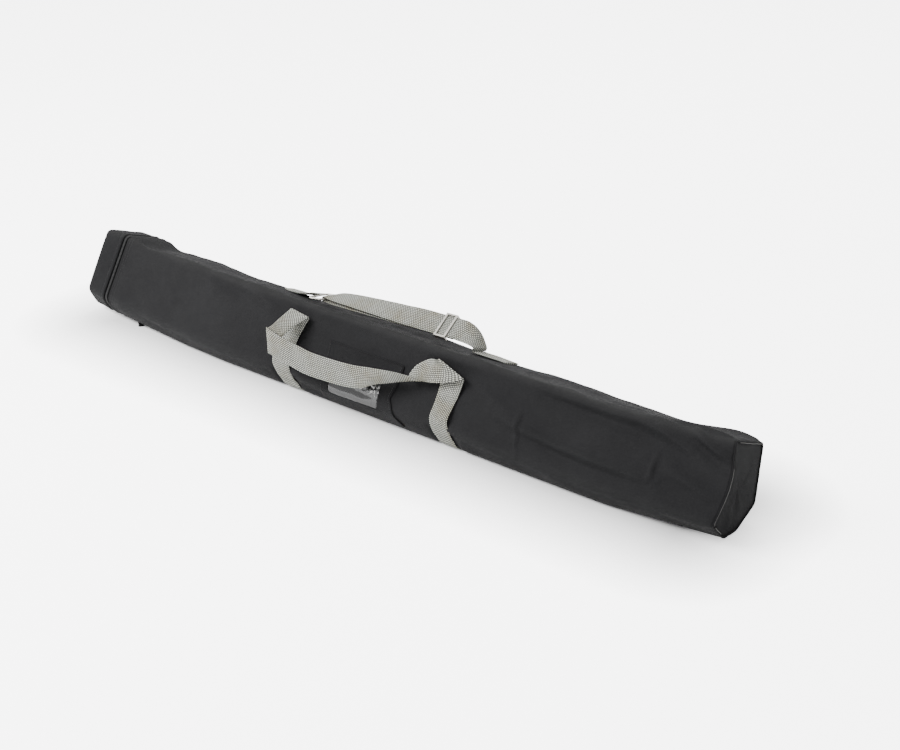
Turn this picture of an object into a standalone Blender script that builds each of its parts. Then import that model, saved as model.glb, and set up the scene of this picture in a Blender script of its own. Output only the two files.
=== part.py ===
"""Long soft carry case with a zip-off end cap, two webbing handles and a shoulder strap.

The long axis is X, with the sewn end at +X and the cap at -X. The case rests on Z = 0.
The section is a six-sided outline that changes a little from station to station, because
the case is soft: front face, top face, back face, back bevel, foot and front bevel.
"""

import math

import bmesh
import bpy
from mathutils import Vector

# Case sizes, in metres
LENGTH = 1.12
FRONT_HEIGHT = 0.104
TOP_WIDTH = 0.078
WALL = 0.0024
LINER = 0.0030
GAP = 0.0003
TRIM = 0.0002
CAP_DEPTH = 0.045
CAP_END_SCALE = 0.95
MOUTH_LIFT = 0.005
PIPING = 0.0030
SEGMENTS = 16

# Zip sizes
ZIP_HALF_GAP = 0.009
TAPE_THICKNESS = 0.0008
COIL_WIDTH = 0.0020
COIL_GAP = 0.0012
COIL_DEPTH = 0.0018
SLIDER_LENGTH = 0.012
SLIDER_WIDTH = 0.009
SLIDER_PLATE = 0.0014
SLIDER_Y = 0.040
PULL_LENGTH = 0.083
PULL_WIDTH = 0.008
PULL_THICKNESS = 0.0012
PULL_ANGLE = 50.0
PULL_FLOOR_GAP = 0.0006

# Webbing sizes
WEBBING_WIDTH = 0.032
WEBBING_THICKNESS = 0.0016
LEG_LEFT_X = -0.131
LEG_RIGHT_X = 0.149
STRAP_Y = 0.050
STRAP_WIDTH = 0.032
STRAP_TILT = 35
RING_WIRE = 0.0030
RING_LENGTH = 0.026
BAR_WRAP = 0.0031

# Label sizes
LABEL_X = 0.004
LABEL_WIDTH = 0.112
LABEL_HEIGHT = 0.062
LABEL_LOW = 0.001
LABEL_RIM_SIDE = 0.010
LABEL_RIM_LOW = 0.006
LABEL_RIM_HIGH = 0.008

HALF = LENGTH / 2
ZIP_X = CAP_DEPTH - HALF
BODY_START = ZIP_X + ZIP_HALF_GAP
CAP_STOP = ZIP_X - ZIP_HALF_GAP

# Corners of the outline, in order round it
E, A, B, C, D2, D1 = range(6)
FRONT = (E, A)
TOP = (A, B)
BACK = (B, C)
BOTTOM = (C, D2, D1, E)
ZIPPED = (C, D2, D1, E, A, B)

# Station: x, front bottom corner, front lean, top slope, back knee, foot back, foot front, scale
MID_CORNER = (-0.0405, 0.030)
STATIONS = [
    (-HALF, (-0.025, 0.038), 31.0, 19.0, (0.096, 0.033), (0.058, 0.008), (-0.008, 0.008),
     CAP_END_SCALE),
    (ZIP_X, (-0.028, 0.034), 32.0, 20.0, (0.1015, 0.030), (0.060, MOUTH_LIFT),
     (-0.010, MOUTH_LIFT), 1.0),
    (-HALF + 0.21, (-0.0375, 0.031), 25.5, 21.0, (0.074, 0.032), (0.040, 0.0), (-0.021, 0.0), 1.0),
    (-HALF + 0.30, MID_CORNER, 22.5, 21.0, (0.060, 0.034), (0.030, 0.0), (-0.0255, 0.0), 1.0),
    (HALF - 0.16, MID_CORNER, 22.5, 22.0, (0.058, 0.032), (0.028, 0.0), (-0.0240, 0.0), 1.0),
    (HALF, (-0.038, 0.036), 22.5, 24.0, (0.065, 0.020), (0.022, 0.0), (-0.0100, 0.0), 1.0),
]

BLACK_CLOTH = ("black_cloth", (0.025, 0.025, 0.028, 1.0), 0.9, 0.0)
BLACK_LINING = ("black_lining", (0.040, 0.040, 0.045, 1.0), 0.9, 0.0)
BLACK_TRIM = ("black_trim", (0.030, 0.030, 0.032, 1.0), 0.7, 0.0)
GREY_WEBBING = ("grey_webbing", (0.46, 0.45, 0.40, 1.0), 0.85, 0.0)
CLEAR_FILM = ("clear_film", (0.60, 0.62, 0.65, 1.0), 0.15, 0.0)
CARD_STOCK = ("card_stock", (0.12, 0.12, 0.13, 1.0), 0.8, 0.0)
BRIGHT_METAL = ("bright_metal", (0.62, 0.61, 0.58, 1.0), 0.30, 1.0)


def clear_scene():
    for item in list(bpy.data.objects):
        bpy.data.objects.remove(item, do_unlink=True)


def make_material(name, look):
    label, colour, roughness, metallic = look
    material = bpy.data.materials.new(label + "_" + name)
    material.use_nodes = True
    shader = material.node_tree.nodes["Principled BSDF"]
    shader.inputs["Base Color"].default_value = colour
    shader.inputs["Roughness"].default_value = roughness
    shader.inputs["Metallic"].default_value = metallic
    return material


def add_mesh(name, points, faces, look):
    """Make one object from points and faces, with its normals facing out."""
    mesh = bpy.data.meshes.new(name)
    mesh.from_pydata([tuple(point) for point in points], [], faces)
    work = bmesh.new()
    work.from_mesh(mesh)
    bmesh.ops.recalc_face_normals(work, faces=work.faces)
    work.to_mesh(mesh)
    work.free()
    item = bpy.data.objects.new(name, mesh)
    bpy.context.collection.objects.link(item)
    item.data.materials.append(make_material(name, look))
    return item


def set_origin(item, origin):
    """Put an object's origin at a point on its joint axis, without moving its shape."""
    origin = Vector(origin)
    for vertex in item.data.vertices:
        vertex.co -= origin
    item.location = origin


def corners(station):
    """Return a station's six outline corners as (y, z) pairs."""
    _, front_low, lean, slope, knee, foot_back, foot_front, scale = station
    lean = math.radians(lean)
    slope = math.radians(slope)
    height = FRONT_HEIGHT * scale
    width = TOP_WIDTH * scale
    front_top = (front_low[0] + height * math.sin(lean), front_low[1] + height * math.cos(lean))
    back_top = (front_top[0] + width * math.cos(slope), front_top[1] - width * math.sin(slope))
    return [front_low, front_top, back_top, knee, foot_back, foot_front]


def outline(x):
    """Return the case's outline at x, blended between the two nearest stations."""
    x = min(max(x, STATIONS[0][0]), STATIONS[-1][0])
    for low, high in zip(STATIONS, STATIONS[1:]):
        if x <= high[0]:
            break
    t = (x - low[0]) / (high[0] - low[0])
    pairs = zip(corners(low), corners(high))
    return [(p[0] + (q[0] - p[0]) * t, p[1] + (q[1] - p[1]) * t) for p, q in pairs]


def inset(loop, depth):
    """Move every side of an outline inwards by a depth, keeping the corners mitred."""
    moved = []
    count = len(loop)
    for i in range(count):
        before = Vector(loop[i]) - Vector(loop[i - 1])
        after = Vector(loop[(i + 1) % count]) - Vector(loop[i])
        before.normalize()
        after.normalize()
        normal_in = Vector((before.y, -before.x))
        normal_out = Vector((after.y, -after.x))
        middle = (normal_in + normal_out).normalized()
        moved.append(Vector(loop[i]) + middle * (depth / middle.dot(normal_in)))
    return moved


def stations_between(x0, x1, extra=()):
    cuts = {x0, x1}
    for station in STATIONS:
        cuts.add(station[0])
    for step in range(1, SEGMENTS):
        cuts.add(-HALF + LENGTH * step / SEGMENTS)
    clear = 0.0008
    kept = []
    for cut in sorted(cuts):
        near_extra = any(abs(cut - other) < clear for other in extra)
        near_end = cut not in (x0, x1) and min(abs(cut - x0), abs(cut - x1)) < clear
        if x0 <= cut <= x1 and not near_extra and not near_end:
            kept.append(cut)
    kept += [cut for cut in extra if x0 < cut < x1]
    return sorted(kept)


def trimmed(line, trim):
    """Shorten an open line of points by a trim at both ends."""
    line = [Vector(point) for point in line]
    line[0] = line[0] + (line[1] - line[0]).normalized() * trim
    line[-1] = line[-1] + (line[-2] - line[-1]).normalized() * trim
    return line


def shell(name, outers, inners, look, ring=False):
    """Make a closed solid between two sheets of points of the same size.

    Each sheet is a list of rows. With ring set, every row closes on itself.
    """
    rows = len(outers)
    width = len(outers[0])
    points = [point for row in outers for point in row] + [point for row in inners for point in row]
    shift = rows * width
    faces = []
    spans = width if ring else width - 1
    for r in range(rows - 1):
        for i in range(spans):
            j = (i + 1) % width
            a, b, c, d = r * width + i, r * width + j, (r + 1) * width + j, (r + 1) * width + i
            faces += [(a, b, c), (a, c, d)]
            faces += [(shift + c, shift + b, shift + a), (shift + d, shift + c, shift + a)]
    for r in range(rows - 1):
        if not ring:
            for i in (0, width - 1):
                a, b = r * width + i, (r + 1) * width + i
                faces.append((a, b, shift + b, shift + a))
    for r in (0, rows - 1):
        for i in range(spans):
            a, b = r * width + i, r * width + (i + 1) % width
            faces.append((a, b, shift + b, shift + a))
    return add_mesh(name, points, faces, look)


def wall(name, path, x0, x1, depth0, depth1, look, trim=TRIM, extra=(), depth_at=None):
    """Make a wall strip along some sides of the outline, from x0 to x1."""
    outers = []
    inners = []
    for x in stations_between(x0, x1, extra):
        outer_depth = depth_at(x) if depth_at else depth0
        for depth, sheet in ((outer_depth, outers), (depth1, inners)):
            loop = inset(outline(x), depth)
            line = trimmed([loop[i] for i in path], trim)
            sheet.append([(x, point.x, point.y) for point in line])
    return shell(name, outers, inners, look)


def band(name, x0, x1, depth0, depth1, look):
    """Make a wall that goes all the way round the outline."""
    outers = []
    inners = []
    for x in stations_between(x0, x1):
        outers.append([(x, p.x, p.y) for p in inset(outline(x), depth0)])
        inners.append([(x, p.x, p.y) for p in inset(outline(x), depth1)])
    return shell(name, outers, inners, look, ring=True)


def plate(name, x0, x1, depth, look):
    """Make a flat end plate that fills the outline at a depth."""
    points = []
    for x in (x0, x1):
        points += [(x, p.x, p.y) for p in inset(outline(x), depth)]
    count = len(points) // 2
    faces = [tuple(range(count)), tuple(range(2 * count - 1, count - 1, -1))]
    for i in range(count):
        j = (i + 1) % count
        faces.append((i, j, count + j, count + i))
    return add_mesh(name, points, faces, look)


def box_points(low, high):
    return [(x, y, z) for x in (low[0], high[0]) for y in (low[1], high[1])
            for z in (low[2], high[2])]


def boxes(name, spans, look):
    """Make one solid from boxes given as (low, high) pairs, joined with exact unions."""
    faces = [(0, 1, 3, 2), (4, 6, 7, 5), (0, 4, 5, 1), (2, 3, 7, 6), (0, 2, 6, 4), (1, 5, 7, 3)]
    base = add_mesh(name, box_points(*spans[0]), faces, look)
    for number, span in enumerate(spans[1:]):
        other = add_mesh("tool_" + name + str(number), box_points(*span), faces, look)
        join_into(base, other)
    return base


def join_into(base, other):
    """Add another solid to a base object with an exact Boolean union."""
    other.display_type = "WIRE"
    other.hide_render = True
    step = base.modifiers.new("union", "BOOLEAN")
    step.operation = "UNION"
    step.solver = "EXACT"
    step.object = other
    shaped = bpy.data.meshes.new_from_object(base.evaluated_get(bpy.context.evaluated_depsgraph_get()))
    base.modifiers.clear()
    base.data = shaped
    bpy.data.objects.remove(other, do_unlink=True)


def front_point(x, up, out):
    """Return a point up the front face from its lower edge, and out from its surface."""
    loop = outline(x)
    low = Vector(loop[E])
    along = (Vector(loop[A]) - low).normalized()
    away = Vector((-along.y, along.x))
    place = low + along * up + away * out
    return Vector((x, place.x, place.y))


def top_point(x, y, out):
    """Return a point over the top face at a given y, and out from its surface."""
    loop = outline(x)
    along = (Vector(loop[B]) - Vector(loop[A])).normalized()
    away = Vector((-along.y, along.x))
    place = Vector(loop[A]) + along * ((y - loop[A][0]) / along.x) + away * out
    return Vector((x, place.x, place.y))


def spline(values, steps):
    """Pass a smooth curve through a list of vectors, with some steps on each span."""
    smooth = []
    last = len(values) - 1
    for i in range(last):
        p0 = values[max(i - 1, 0)]
        p1 = values[i]
        p2 = values[i + 1]
        p3 = values[min(i + 2, last)]
        for s in range(steps):
            t = s / steps
            smooth.append(0.5 * ((2 * p1) + (p2 - p0) * t + (2 * p0 - 5 * p1 + 4 * p2 - p3) * t * t
                                 + (3 * p1 - p0 - 3 * p2 + p3) * t * t * t))
    smooth.append(values[last].copy())
    return smooth


def ribbon(name, rulings, thickness, look, steps=2):
    """Make a ribbon from pairs of edge points, smoothed along its length."""
    lefts = spline([pair[0] for pair in rulings], steps)
    rights = spline([pair[1] for pair in rulings], steps)
    middles = [(a + b) / 2 for a, b in zip(lefts, rights)]
    outers = []
    inners = []
    for i, (left, right) in enumerate(zip(lefts, rights)):
        tangent = middles[min(i + 1, len(middles) - 1)] - middles[max(i - 1, 0)]
        normal = tangent.cross(right - left).normalized() * (thickness / 2)
        outers.append([left + normal, right + normal])
        inners.append([left - normal, right - normal])
    return shell(name, outers, inners, look)


def handle_rulings(points):
    """Turn (x, up, out) edge pairs in millimetres on the front face into rulings."""
    rulings = []
    for left, right in points:
        pair = []
        for x, up, out in (left, right):
            pair.append(front_point(x / 1000, up / 1000, out / 1000))
        rulings.append(pair)
    return rulings


def wrapped_web(name, centre_x):
    """Make the webbing that runs under the case, sunk flush into the bottom panel."""
    return wall(name, BOTTOM, centre_x - WEBBING_WIDTH / 2, centre_x + WEBBING_WIDTH / 2,
                0.0, WEBBING_THICKNESS, GREY_WEBBING, trim=0.0015)


def bottom_depth(x):
    """Return how far the bottom panel's outer surface is sunk, for the two webbing channels."""
    half_channel = WEBBING_WIDTH / 2 + GAP
    for centre in (LEG_LEFT_X, LEG_RIGHT_X):
        if abs(x - centre) <= half_channel + 1e-6:
            return WEBBING_THICKNESS + GAP
    return 0.0


def make_body():
    stop = HALF - PIPING - GAP
    cuts = []
    for centre in (LEG_LEFT_X, LEG_RIGHT_X):
        for side in (-1, 1):
            edge = centre + side * (WEBBING_WIDTH / 2 + GAP)
            cuts += [edge, edge + side * 0.0003]
    wall("front_panel", FRONT, BODY_START, stop, 0.0, WALL, BLACK_CLOTH)
    wall("top_panel", TOP, BODY_START, stop, 0.0, WALL, BLACK_CLOTH)
    wall("back_panel", BACK, BODY_START, stop, 0.0, WALL, BLACK_CLOTH)
    wall("bottom_panel", BOTTOM, BODY_START, stop, 0.0, WALL, BLACK_CLOTH,
         extra=cuts, depth_at=bottom_depth)
    band("end_piping", HALF - PIPING, HALF, 0.0, PIPING, BLACK_TRIM)
    plate("end_panel", HALF - WALL - GAP, HALF - GAP, PIPING + GAP, BLACK_CLOTH)

    inner = WALL + 2 * GAP
    liner_stop = HALF - WALL - 2 * GAP - 0.0002
    liner_start = BODY_START + 0.004
    wall("front_liner", FRONT, liner_start, liner_stop - LINER - GAP, inner, inner + LINER,
         BLACK_LINING)
    wall("top_liner", TOP, liner_start, liner_stop - LINER - GAP, inner, inner + LINER,
         BLACK_LINING)
    wall("back_liner", BACK, liner_start, liner_stop - LINER - GAP, inner, inner + LINER,
         BLACK_LINING)
    wall("bottom_liner", BOTTOM, liner_start, liner_stop - LINER - GAP, inner, inner + LINER,
         BLACK_LINING)
    plate("end_liner", liner_stop - LINER, liner_stop, PIPING + 2 * GAP, BLACK_LINING)
    wrapped_web("web_under_left", LEG_LEFT_X)
    wrapped_web("web_under_right", LEG_RIGHT_X)


def make_zip():
    half = COIL_GAP / 2
    tape_in = half + COIL_WIDTH + GAP
    depth = 0.0010
    for name, side, edge in (("body", 1, BODY_START - GAP), ("cap", -1, CAP_STOP + GAP)):
        near = ZIP_X + side * tape_in
        wall("zip_tape_" + name, ZIPPED, min(near, edge), max(near, edge), depth,
             depth + TAPE_THICKNESS, BLACK_TRIM, trim=0.002)
        low = ZIP_X + side * half
        high = ZIP_X + side * (half + COIL_WIDTH)
        wall("zip_coil_" + name, ZIPPED, min(low, high), max(low, high), 0.0004,
             0.0004 + COIL_DEPTH, BLACK_TRIM, trim=0.006)
    wall("hinge_strip", BACK, ZIP_X - 0.0045, BODY_START - GAP, 0.0008, 0.0016, BLACK_CLOTH,
         trim=0.004)


def make_slider():
    """Make the slider on the zip's lower run and the long pull that lies under the case."""
    foot_z = outline(ZIP_X)[D1][1]
    y = SLIDER_Y
    top = foot_z - 0.0001
    low = top - SLIDER_PLATE
    half_length = SLIDER_LENGTH / 2
    half_width = SLIDER_WIDTH / 2
    post = COIL_GAP / 2 - GAP
    inside = foot_z + 0.0004 + COIL_DEPTH + GAP
    pull_top = PULL_FLOOR_GAP + PULL_THICKNESS
    slider = boxes("zip_slider", [
        ((ZIP_X - half_width, y - half_length, low), (ZIP_X + half_width, y + half_length, top)),
        ((ZIP_X - post, y - 0.003, top - 0.0004), (ZIP_X + post, y + 0.003, inside + 0.0004)),
        ((ZIP_X - 0.002, y - 0.004, inside), (ZIP_X + 0.002, y + 0.004, inside + 0.0010)),
        ((ZIP_X - 0.002, y - 0.002, pull_top + GAP), (ZIP_X + 0.002, y + 0.002, low + 0.0004)),
    ], BRIGHT_METAL)
    set_origin(slider, (ZIP_X, y, low))
    pull = boxes("zip_pull", [
        ((-PULL_WIDTH / 2, -PULL_LENGTH, -PULL_THICKNESS), (PULL_WIDTH / 2, 0.004, 0.0)),
    ], BLACK_TRIM)
    pull.location = (ZIP_X, y, pull_top)
    pull.rotation_euler = (0.0, 0.0, math.radians(PULL_ANGLE))
    stop_y = y + half_length + 0.0015
    boxes("zip_stop", [
        ((ZIP_X - 0.0040, stop_y, low + 0.0004), (ZIP_X - 0.0012, stop_y + 0.004, foot_z + 0.0001)),
    ], BRIGHT_METAL)


def make_cap():
    start = -HALF
    band("cap_piping", start, start + PIPING, 0.0, PIPING, BLACK_TRIM)
    plate("cap_end_panel", start + GAP, start + GAP + WALL, PIPING + GAP, BLACK_CLOTH)
    band("cap_band", start + PIPING + GAP, CAP_STOP, 0.0, WALL, BLACK_CLOTH)
    inner = WALL + GAP
    band("cap_liner", start + PIPING + GAP + LINER, CAP_STOP - 0.004, inner, inner + LINER,
         BLACK_LINING)
    plate("cap_end_liner", start + 2 * GAP + WALL + 0.0002, start + GAP + WALL + LINER,
          inner + LINER + GAP, BLACK_LINING)


def on_front(name, x0, x1, up0, up1, out0, out1, look):
    """Make a flat patch on the front face."""
    outers = []
    inners = []
    for x in stations_between(x0, x1):
        outers.append([front_point(x, up0, out1), front_point(x, up1, out1)])
        inners.append([front_point(x, up0, out0), front_point(x, up1, out0)])
    return shell(name, outers, inners, look)


def make_label():
    half = LABEL_WIDTH / 2
    outers = []
    inners = []
    x0, x1 = LABEL_X - half, LABEL_X + half
    u0, u1 = LABEL_LOW, LABEL_LOW + LABEL_HEIGHT
    rim = [(x0, u0), (x1, u0), (x1, u1), (x0, u1)]
    hole = [(x0 + LABEL_RIM_SIDE, u0 + LABEL_RIM_LOW), (x1 - LABEL_RIM_SIDE, u0 + LABEL_RIM_LOW),
            (x1 - LABEL_RIM_SIDE, u1 - LABEL_RIM_HIGH), (x0 + LABEL_RIM_SIDE, u1 - LABEL_RIM_HIGH)]
    for out, sheet in ((0.0014, outers), (0.0003, inners)):
        sheet.append([front_point(x, u, out) for x, u in rim])
        sheet.append([front_point(x, u, out) for x, u in hole])
    shell("label_pocket", outers, inners, BLACK_TRIM, ring=True)
    inner_low = u0 + LABEL_RIM_LOW + GAP
    inner_high = u1 - LABEL_RIM_HIGH - GAP
    left = x0 + LABEL_RIM_SIDE + GAP
    right = x1 - LABEL_RIM_SIDE - GAP
    on_front("label_window", left, right, inner_low, inner_high, 0.0010, 0.0014, CLEAR_FILM)
    on_front("label_card", left, right, inner_low, inner_high, 0.0003, 0.0007, CARD_STOCK)


# Front handle: edge pairs (x, up the face, out from the face), in millimetres
FRONT_LOOP = [
    ((-148, 2, 1.6), (-115, 3, 1.6)),
    ((-147, 14, 1.6), (-115, 14, 1.6)),
    ((-143, 44, 2.2), (-111, 44, 2.2)),
    ((-137, 66, 3.0), (-105, 64, 3.0)),
    ((-131, 87, 4.0), (-97, 83, 4.0)),
    ((-130, 90, 7.5), (-96, 86, 7.5)),
    ((-130, 87, 11), (-98, 82, 11)),
    ((-132, 76, 22), (-106, 69, 22)),
    ((-134, 64, 33), (-117, 46, 33)),
    ((-136, 60, 37.5), (-123, 27, 37)),
    ((-134, 60, 41), (-121, 27, 40.5)),
    ((-105, 54, 41), (-108, 25, 41)),
    ((-75, 50, 38), (-81, 20, 38)),
    ((-46, 47, 35), (-50, 16, 35)),
    ((7, 47, 27), (7, 17, 27)),
    ((58, 53, 22), (51, 32, 21)),
    ((82, 57, 16), (78, 43, 25)),
    ((104, 58, 12), (100, 59, 29)),
    ((128, 58, 17), (110, 80, 21)),
    ((150, 63, 17), (124, 87, 17)),
    ((178, 74, 11.5), (134, 89, 11.5)),
    ((180, 75, 8), (135, 90, 8)),
    ((178, 69, 5), (139, 84, 5)),
    ((175, 54, 3.0), (142, 58, 3.0)),
    ((170, 36, 2.2), (140, 35, 2.2)),
    ((166, 15, 1.6), (137, 12, 1.6)),
    ((166, 3, 1.6), (136, 2, 1.6)),
]


def make_front_handle():
    loop = ribbon("front_handle", handle_rulings(FRONT_LOOP), WEBBING_THICKNESS, GREY_WEBBING)
    set_origin(loop, (0.0, MID_CORNER[0], MID_CORNER[1]))


def make_back_handle():
    """Make the second handle, lying on the floor behind the case."""
    half_leg = WEBBING_WIDTH / 2
    knee = outline(0.0)[C]
    low = WEBBING_THICKNESS / 2 + 0.0004
    left = LEG_LEFT_X
    right = LEG_RIGHT_X
    rulings = []
    lie = [(0.0036, 0.0008), (0.010, -0.012), (0.022, -knee[1] + low + 0.004),
           (0.034, -knee[1] + low)]
    for dy, dz in lie:
        y, z = knee[0] + dy, knee[1] + dz
        rulings.append((Vector((left - half_leg, y, z)), Vector((left + half_leg, y, z))))
    turn = [(-14, -4, 13, 4, 14), (-8, 0, 24, 18, 26), (4, 10, 36, 30, 32), (30, 34, 46, 44, 32)]
    reach = knee[0] + 0.034
    for xa, xb, ya, yb, rise in turn:
        rulings.append((Vector((left + xa / 1000, reach + ya / 1000, low)),
                        Vector((left + xb / 1000, reach + yb / 1000, low + rise / 1000))))
    middle = (left + right) / 2
    rulings.append((Vector((middle, reach + 0.050, low)),
                    Vector((middle, reach + 0.048, low + WEBBING_WIDTH))))
    mirrored = []
    for edge_a, edge_b in rulings[:-1]:
        mirrored.append(tuple(Vector((2 * middle - p.x, p.y, p.z)) for p in (edge_a, edge_b)))
    rulings += mirrored[::-1]
    loop = ribbon("back_handle", rulings, WEBBING_THICKNESS, GREY_WEBBING)
    set_origin(loop, (0.0, knee[0], knee[1]))


# Strap: x, height of its centre over the top face, tilt in degrees from level (back edge up)
STRAP_LINE = [
    (-0.1120, 0.0130, -11),
    (-0.0960, 0.0150, 2),
    (-0.0500, 0.0180, 14),
    (0.0200, 0.0210, 29),
    (0.0500, 0.0226, STRAP_TILT),
    (0.0825, 0.0238, STRAP_TILT),
    (0.1150, 0.0250, STRAP_TILT),
    (0.1250, 0.0248, 34),
    (0.1350, 0.0225, 22),
    (0.1440, 0.0175, 4),
]


def strap_frame(x, height, tilt, drop=0.0):
    """Return the strap's middle at x and half its width, dropped square to its face."""
    centre = top_point(x, STRAP_Y, 0.0) + Vector((0.0, 0.0, height))
    tilt = math.radians(tilt)
    centre = centre - Vector((0.0, -math.sin(tilt), math.cos(tilt))) * drop
    across = Vector((0.0, math.cos(tilt), math.sin(tilt))) * (STRAP_WIDTH / 2)
    return centre, across


def strap_rulings(line, share=1.0):
    """Turn strap points into rulings that cover a share of the strap's width."""
    rulings = []
    for place in line:
        centre, across = strap_frame(*place)
        rulings.append((centre - across * share, centre + across * share))
    return rulings


def make_strap():
    thick = WEBBING_THICKNESS
    end = STRAP_LINE[-1]
    tail = [(end[0] + 0.0075, 0.0095, -17), (end[0] + 0.0070, 0.0050, -17)]
    bar_x, top_height, bar_tilt = STRAP_LINE[0]
    wrap = []
    for turn in (-90, -135, -180, -225):
        angle = math.radians(turn)
        wrap.append((bar_x + BAR_WRAP * math.cos(angle),
                     top_height - BAR_WRAP + BAR_WRAP * math.sin(angle), bar_tilt))
    ribbon("shoulder_strap", strap_rulings(wrap + STRAP_LINE + tail), thick, GREY_WEBBING)
    under = [(bar_x + 0.0006, top_height, bar_tilt)] + STRAP_LINE[1:7]
    layer = thick + 2 * GAP
    drops = [2 * BAR_WRAP, 2 * BAR_WRAP - 0.0002, 0.0055, 0.0040, layer, layer, layer]
    line = [place + (drop,) for place, drop in zip(under, drops)]
    ribbon("strap_return", strap_rulings(line, 0.97), thick, GREY_WEBBING)


def anchor(name, x0, x1):
    """Make a strap anchor tab lying on the top face."""
    half = STRAP_WIDTH / 2
    outers = []
    inners = []
    for x in stations_between(x0, x1):
        for out, sheet in ((0.0003 + 2 * WEBBING_THICKNESS, outers), (0.0003, inners)):
            sheet.append([top_point(x, STRAP_Y - half, out), top_point(x, STRAP_Y + half, out)])
    return shell(name, outers, inners, GREY_WEBBING)


def tube_loop(name, path, radius, look, sides=8):
    """Make a closed loop of wire through a list of points."""
    rows = []
    count = len(path)
    centre = sum(path, Vector()) / count
    normal = (path[0] - centre).cross(path[1] - centre).normalized()
    for i in range(count):
        tangent = (path[(i + 1) % count] - path[i - 1]).normalized()
        side = tangent.cross(normal).normalized()
        row = []
        for s in range(sides):
            angle = 2 * math.pi * s / sides
            row.append(path[i] + (side * math.cos(angle) + normal * math.sin(angle)) * radius)
        rows.append(row)
    points = [point for row in rows for point in row]
    faces = []
    for i in range(count):
        for s in range(sides):
            a = i * sides + s
            b = i * sides + (s + 1) % sides
            c = ((i + 1) % count) * sides + (s + 1) % sides
            d = ((i + 1) % count) * sides + s
            faces.append((a, b, c, d))
    item = add_mesh(name, points, faces, look)
    for polygon in item.data.polygons:
        polygon.use_smooth = True
    return item


def make_ring():
    """Make the rectangular wire ring between the left anchor and the strap's end."""
    half_width = STRAP_WIDTH / 2 + RING_WIRE
    bar_x, height, tilt = STRAP_LINE[0]
    far, across = strap_frame(bar_x, height - BAR_WRAP, tilt)
    near, _ = strap_frame(bar_x - RING_LENGTH, 0.0062, tilt)
    across = across.normalized()
    along = (far - near).normalized()
    round_off = 0.003
    path = []
    for end, sense in ((far, 1), (near, -1)):
        for side in (-sense, sense):
            corner = end + across * (half_width * side)
            back = corner - along * (round_off * sense)
            inward = corner - across * (round_off * side)
            path += [back, inward] if side == -sense else [inward, back]
    return tube_loop("strap_ring", path, RING_WIRE / 2, BRIGHT_METAL)


def make_adjuster():
    """Make the three-bar slide that the strap runs through."""
    x = 0.0955
    tilt = STRAP_TILT
    low, high = STRAP_LINE[4], STRAP_LINE[6]
    t = (x - low[0]) / (high[0] - low[0])
    height = low[1] + (high[1] - low[1]) * t
    centre, across = strap_frame(x, height, tilt)
    c_low, _ = strap_frame(low[0], low[1], tilt)
    c_high, _ = strap_frame(high[0], high[1], tilt)
    along = (c_high - c_low).normalized()
    across = across.normalized()
    up = along.cross(across).normalized()
    half = STRAP_WIDTH / 2 + GAP
    rail = 0.0022
    bar = 0.0030
    thick = WEBBING_THICKNESS
    over = thick / 2 + GAP
    under = thick * 1.5 + 3.5 * GAP
    spans = []
    for side in (-1, 1):
        inner, outer = side * half, side * (half + rail)
        spans.append(((-0.0095, min(inner, outer), -under - 0.0016),
                      (0.0095, max(inner, outer), over + 0.0016)))
    for place in (-0.0095, 0.0065):
        spans.append(((place, -half - 0.001, over), (place + bar, half + 0.001, over + 0.0016)))
    spans.append(((-bar / 2, -half - 0.001, -under - 0.0016), (bar / 2, half + 0.001, -under)))
    slide = boxes("strap_adjuster", spans, BRIGHT_METAL)
    for vertex in slide.data.vertices:
        local = vertex.co.copy()
        vertex.co = along * local.x + across * local.y + up * local.z
    slide.location = centre


clear_scene()
make_body()
make_zip()
make_slider()
make_cap()
make_label()
make_front_handle()
make_back_handle()
make_strap()
anchor("strap_anchor_left", -0.195, -0.1420)
anchor("strap_anchor_right", 0.1560, 0.204)
make_ring()
make_adjuster()
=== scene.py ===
"""Looks for the soft carrying tube case: cloth skins, webbing, zip, label window, metal and studio."""

import math

import bmesh
import bpy
import numpy as np
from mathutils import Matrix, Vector


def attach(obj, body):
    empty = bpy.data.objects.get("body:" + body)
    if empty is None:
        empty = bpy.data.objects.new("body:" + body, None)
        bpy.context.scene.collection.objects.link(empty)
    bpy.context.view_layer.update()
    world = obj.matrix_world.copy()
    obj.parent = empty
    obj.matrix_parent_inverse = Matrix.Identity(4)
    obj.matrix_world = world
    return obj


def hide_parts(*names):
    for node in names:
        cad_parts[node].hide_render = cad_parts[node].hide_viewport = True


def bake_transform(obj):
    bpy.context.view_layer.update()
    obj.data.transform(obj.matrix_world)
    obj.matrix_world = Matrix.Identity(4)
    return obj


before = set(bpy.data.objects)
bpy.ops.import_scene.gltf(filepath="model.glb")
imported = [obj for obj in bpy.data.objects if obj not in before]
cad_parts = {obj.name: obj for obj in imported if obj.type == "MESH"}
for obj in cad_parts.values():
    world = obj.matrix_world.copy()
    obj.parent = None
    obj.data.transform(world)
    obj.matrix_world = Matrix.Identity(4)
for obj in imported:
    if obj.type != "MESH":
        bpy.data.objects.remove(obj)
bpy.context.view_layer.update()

# ---- case sizes, in metres
LENGTH = 1.12
HALF = LENGTH / 2
FRONT_HEIGHT = 0.104
TOP_WIDTH = 0.078
CAP_DEPTH = 0.045
ZIP_X = CAP_DEPTH - HALF
WEB = 0.032
WEB_THICK = 0.0016
LEG_LEFT_X = -0.131
LEG_RIGHT_X = 0.149
STRAP_Y = 0.050
LIP = 0.0046
GROUND_GAP = 0.0004
WEB_ROOM = 0.0021
WEB_DRIFT = 0.013
STITCH_ROWS = (0.0120, 0.0175)
SKIN_THICK = 0.0018
SKIN_DROP = 0.0004
LINING_THICK = 0.0010
LINING_DEPTH = 0.0058
COVER_THICK = 0.0012
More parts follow.
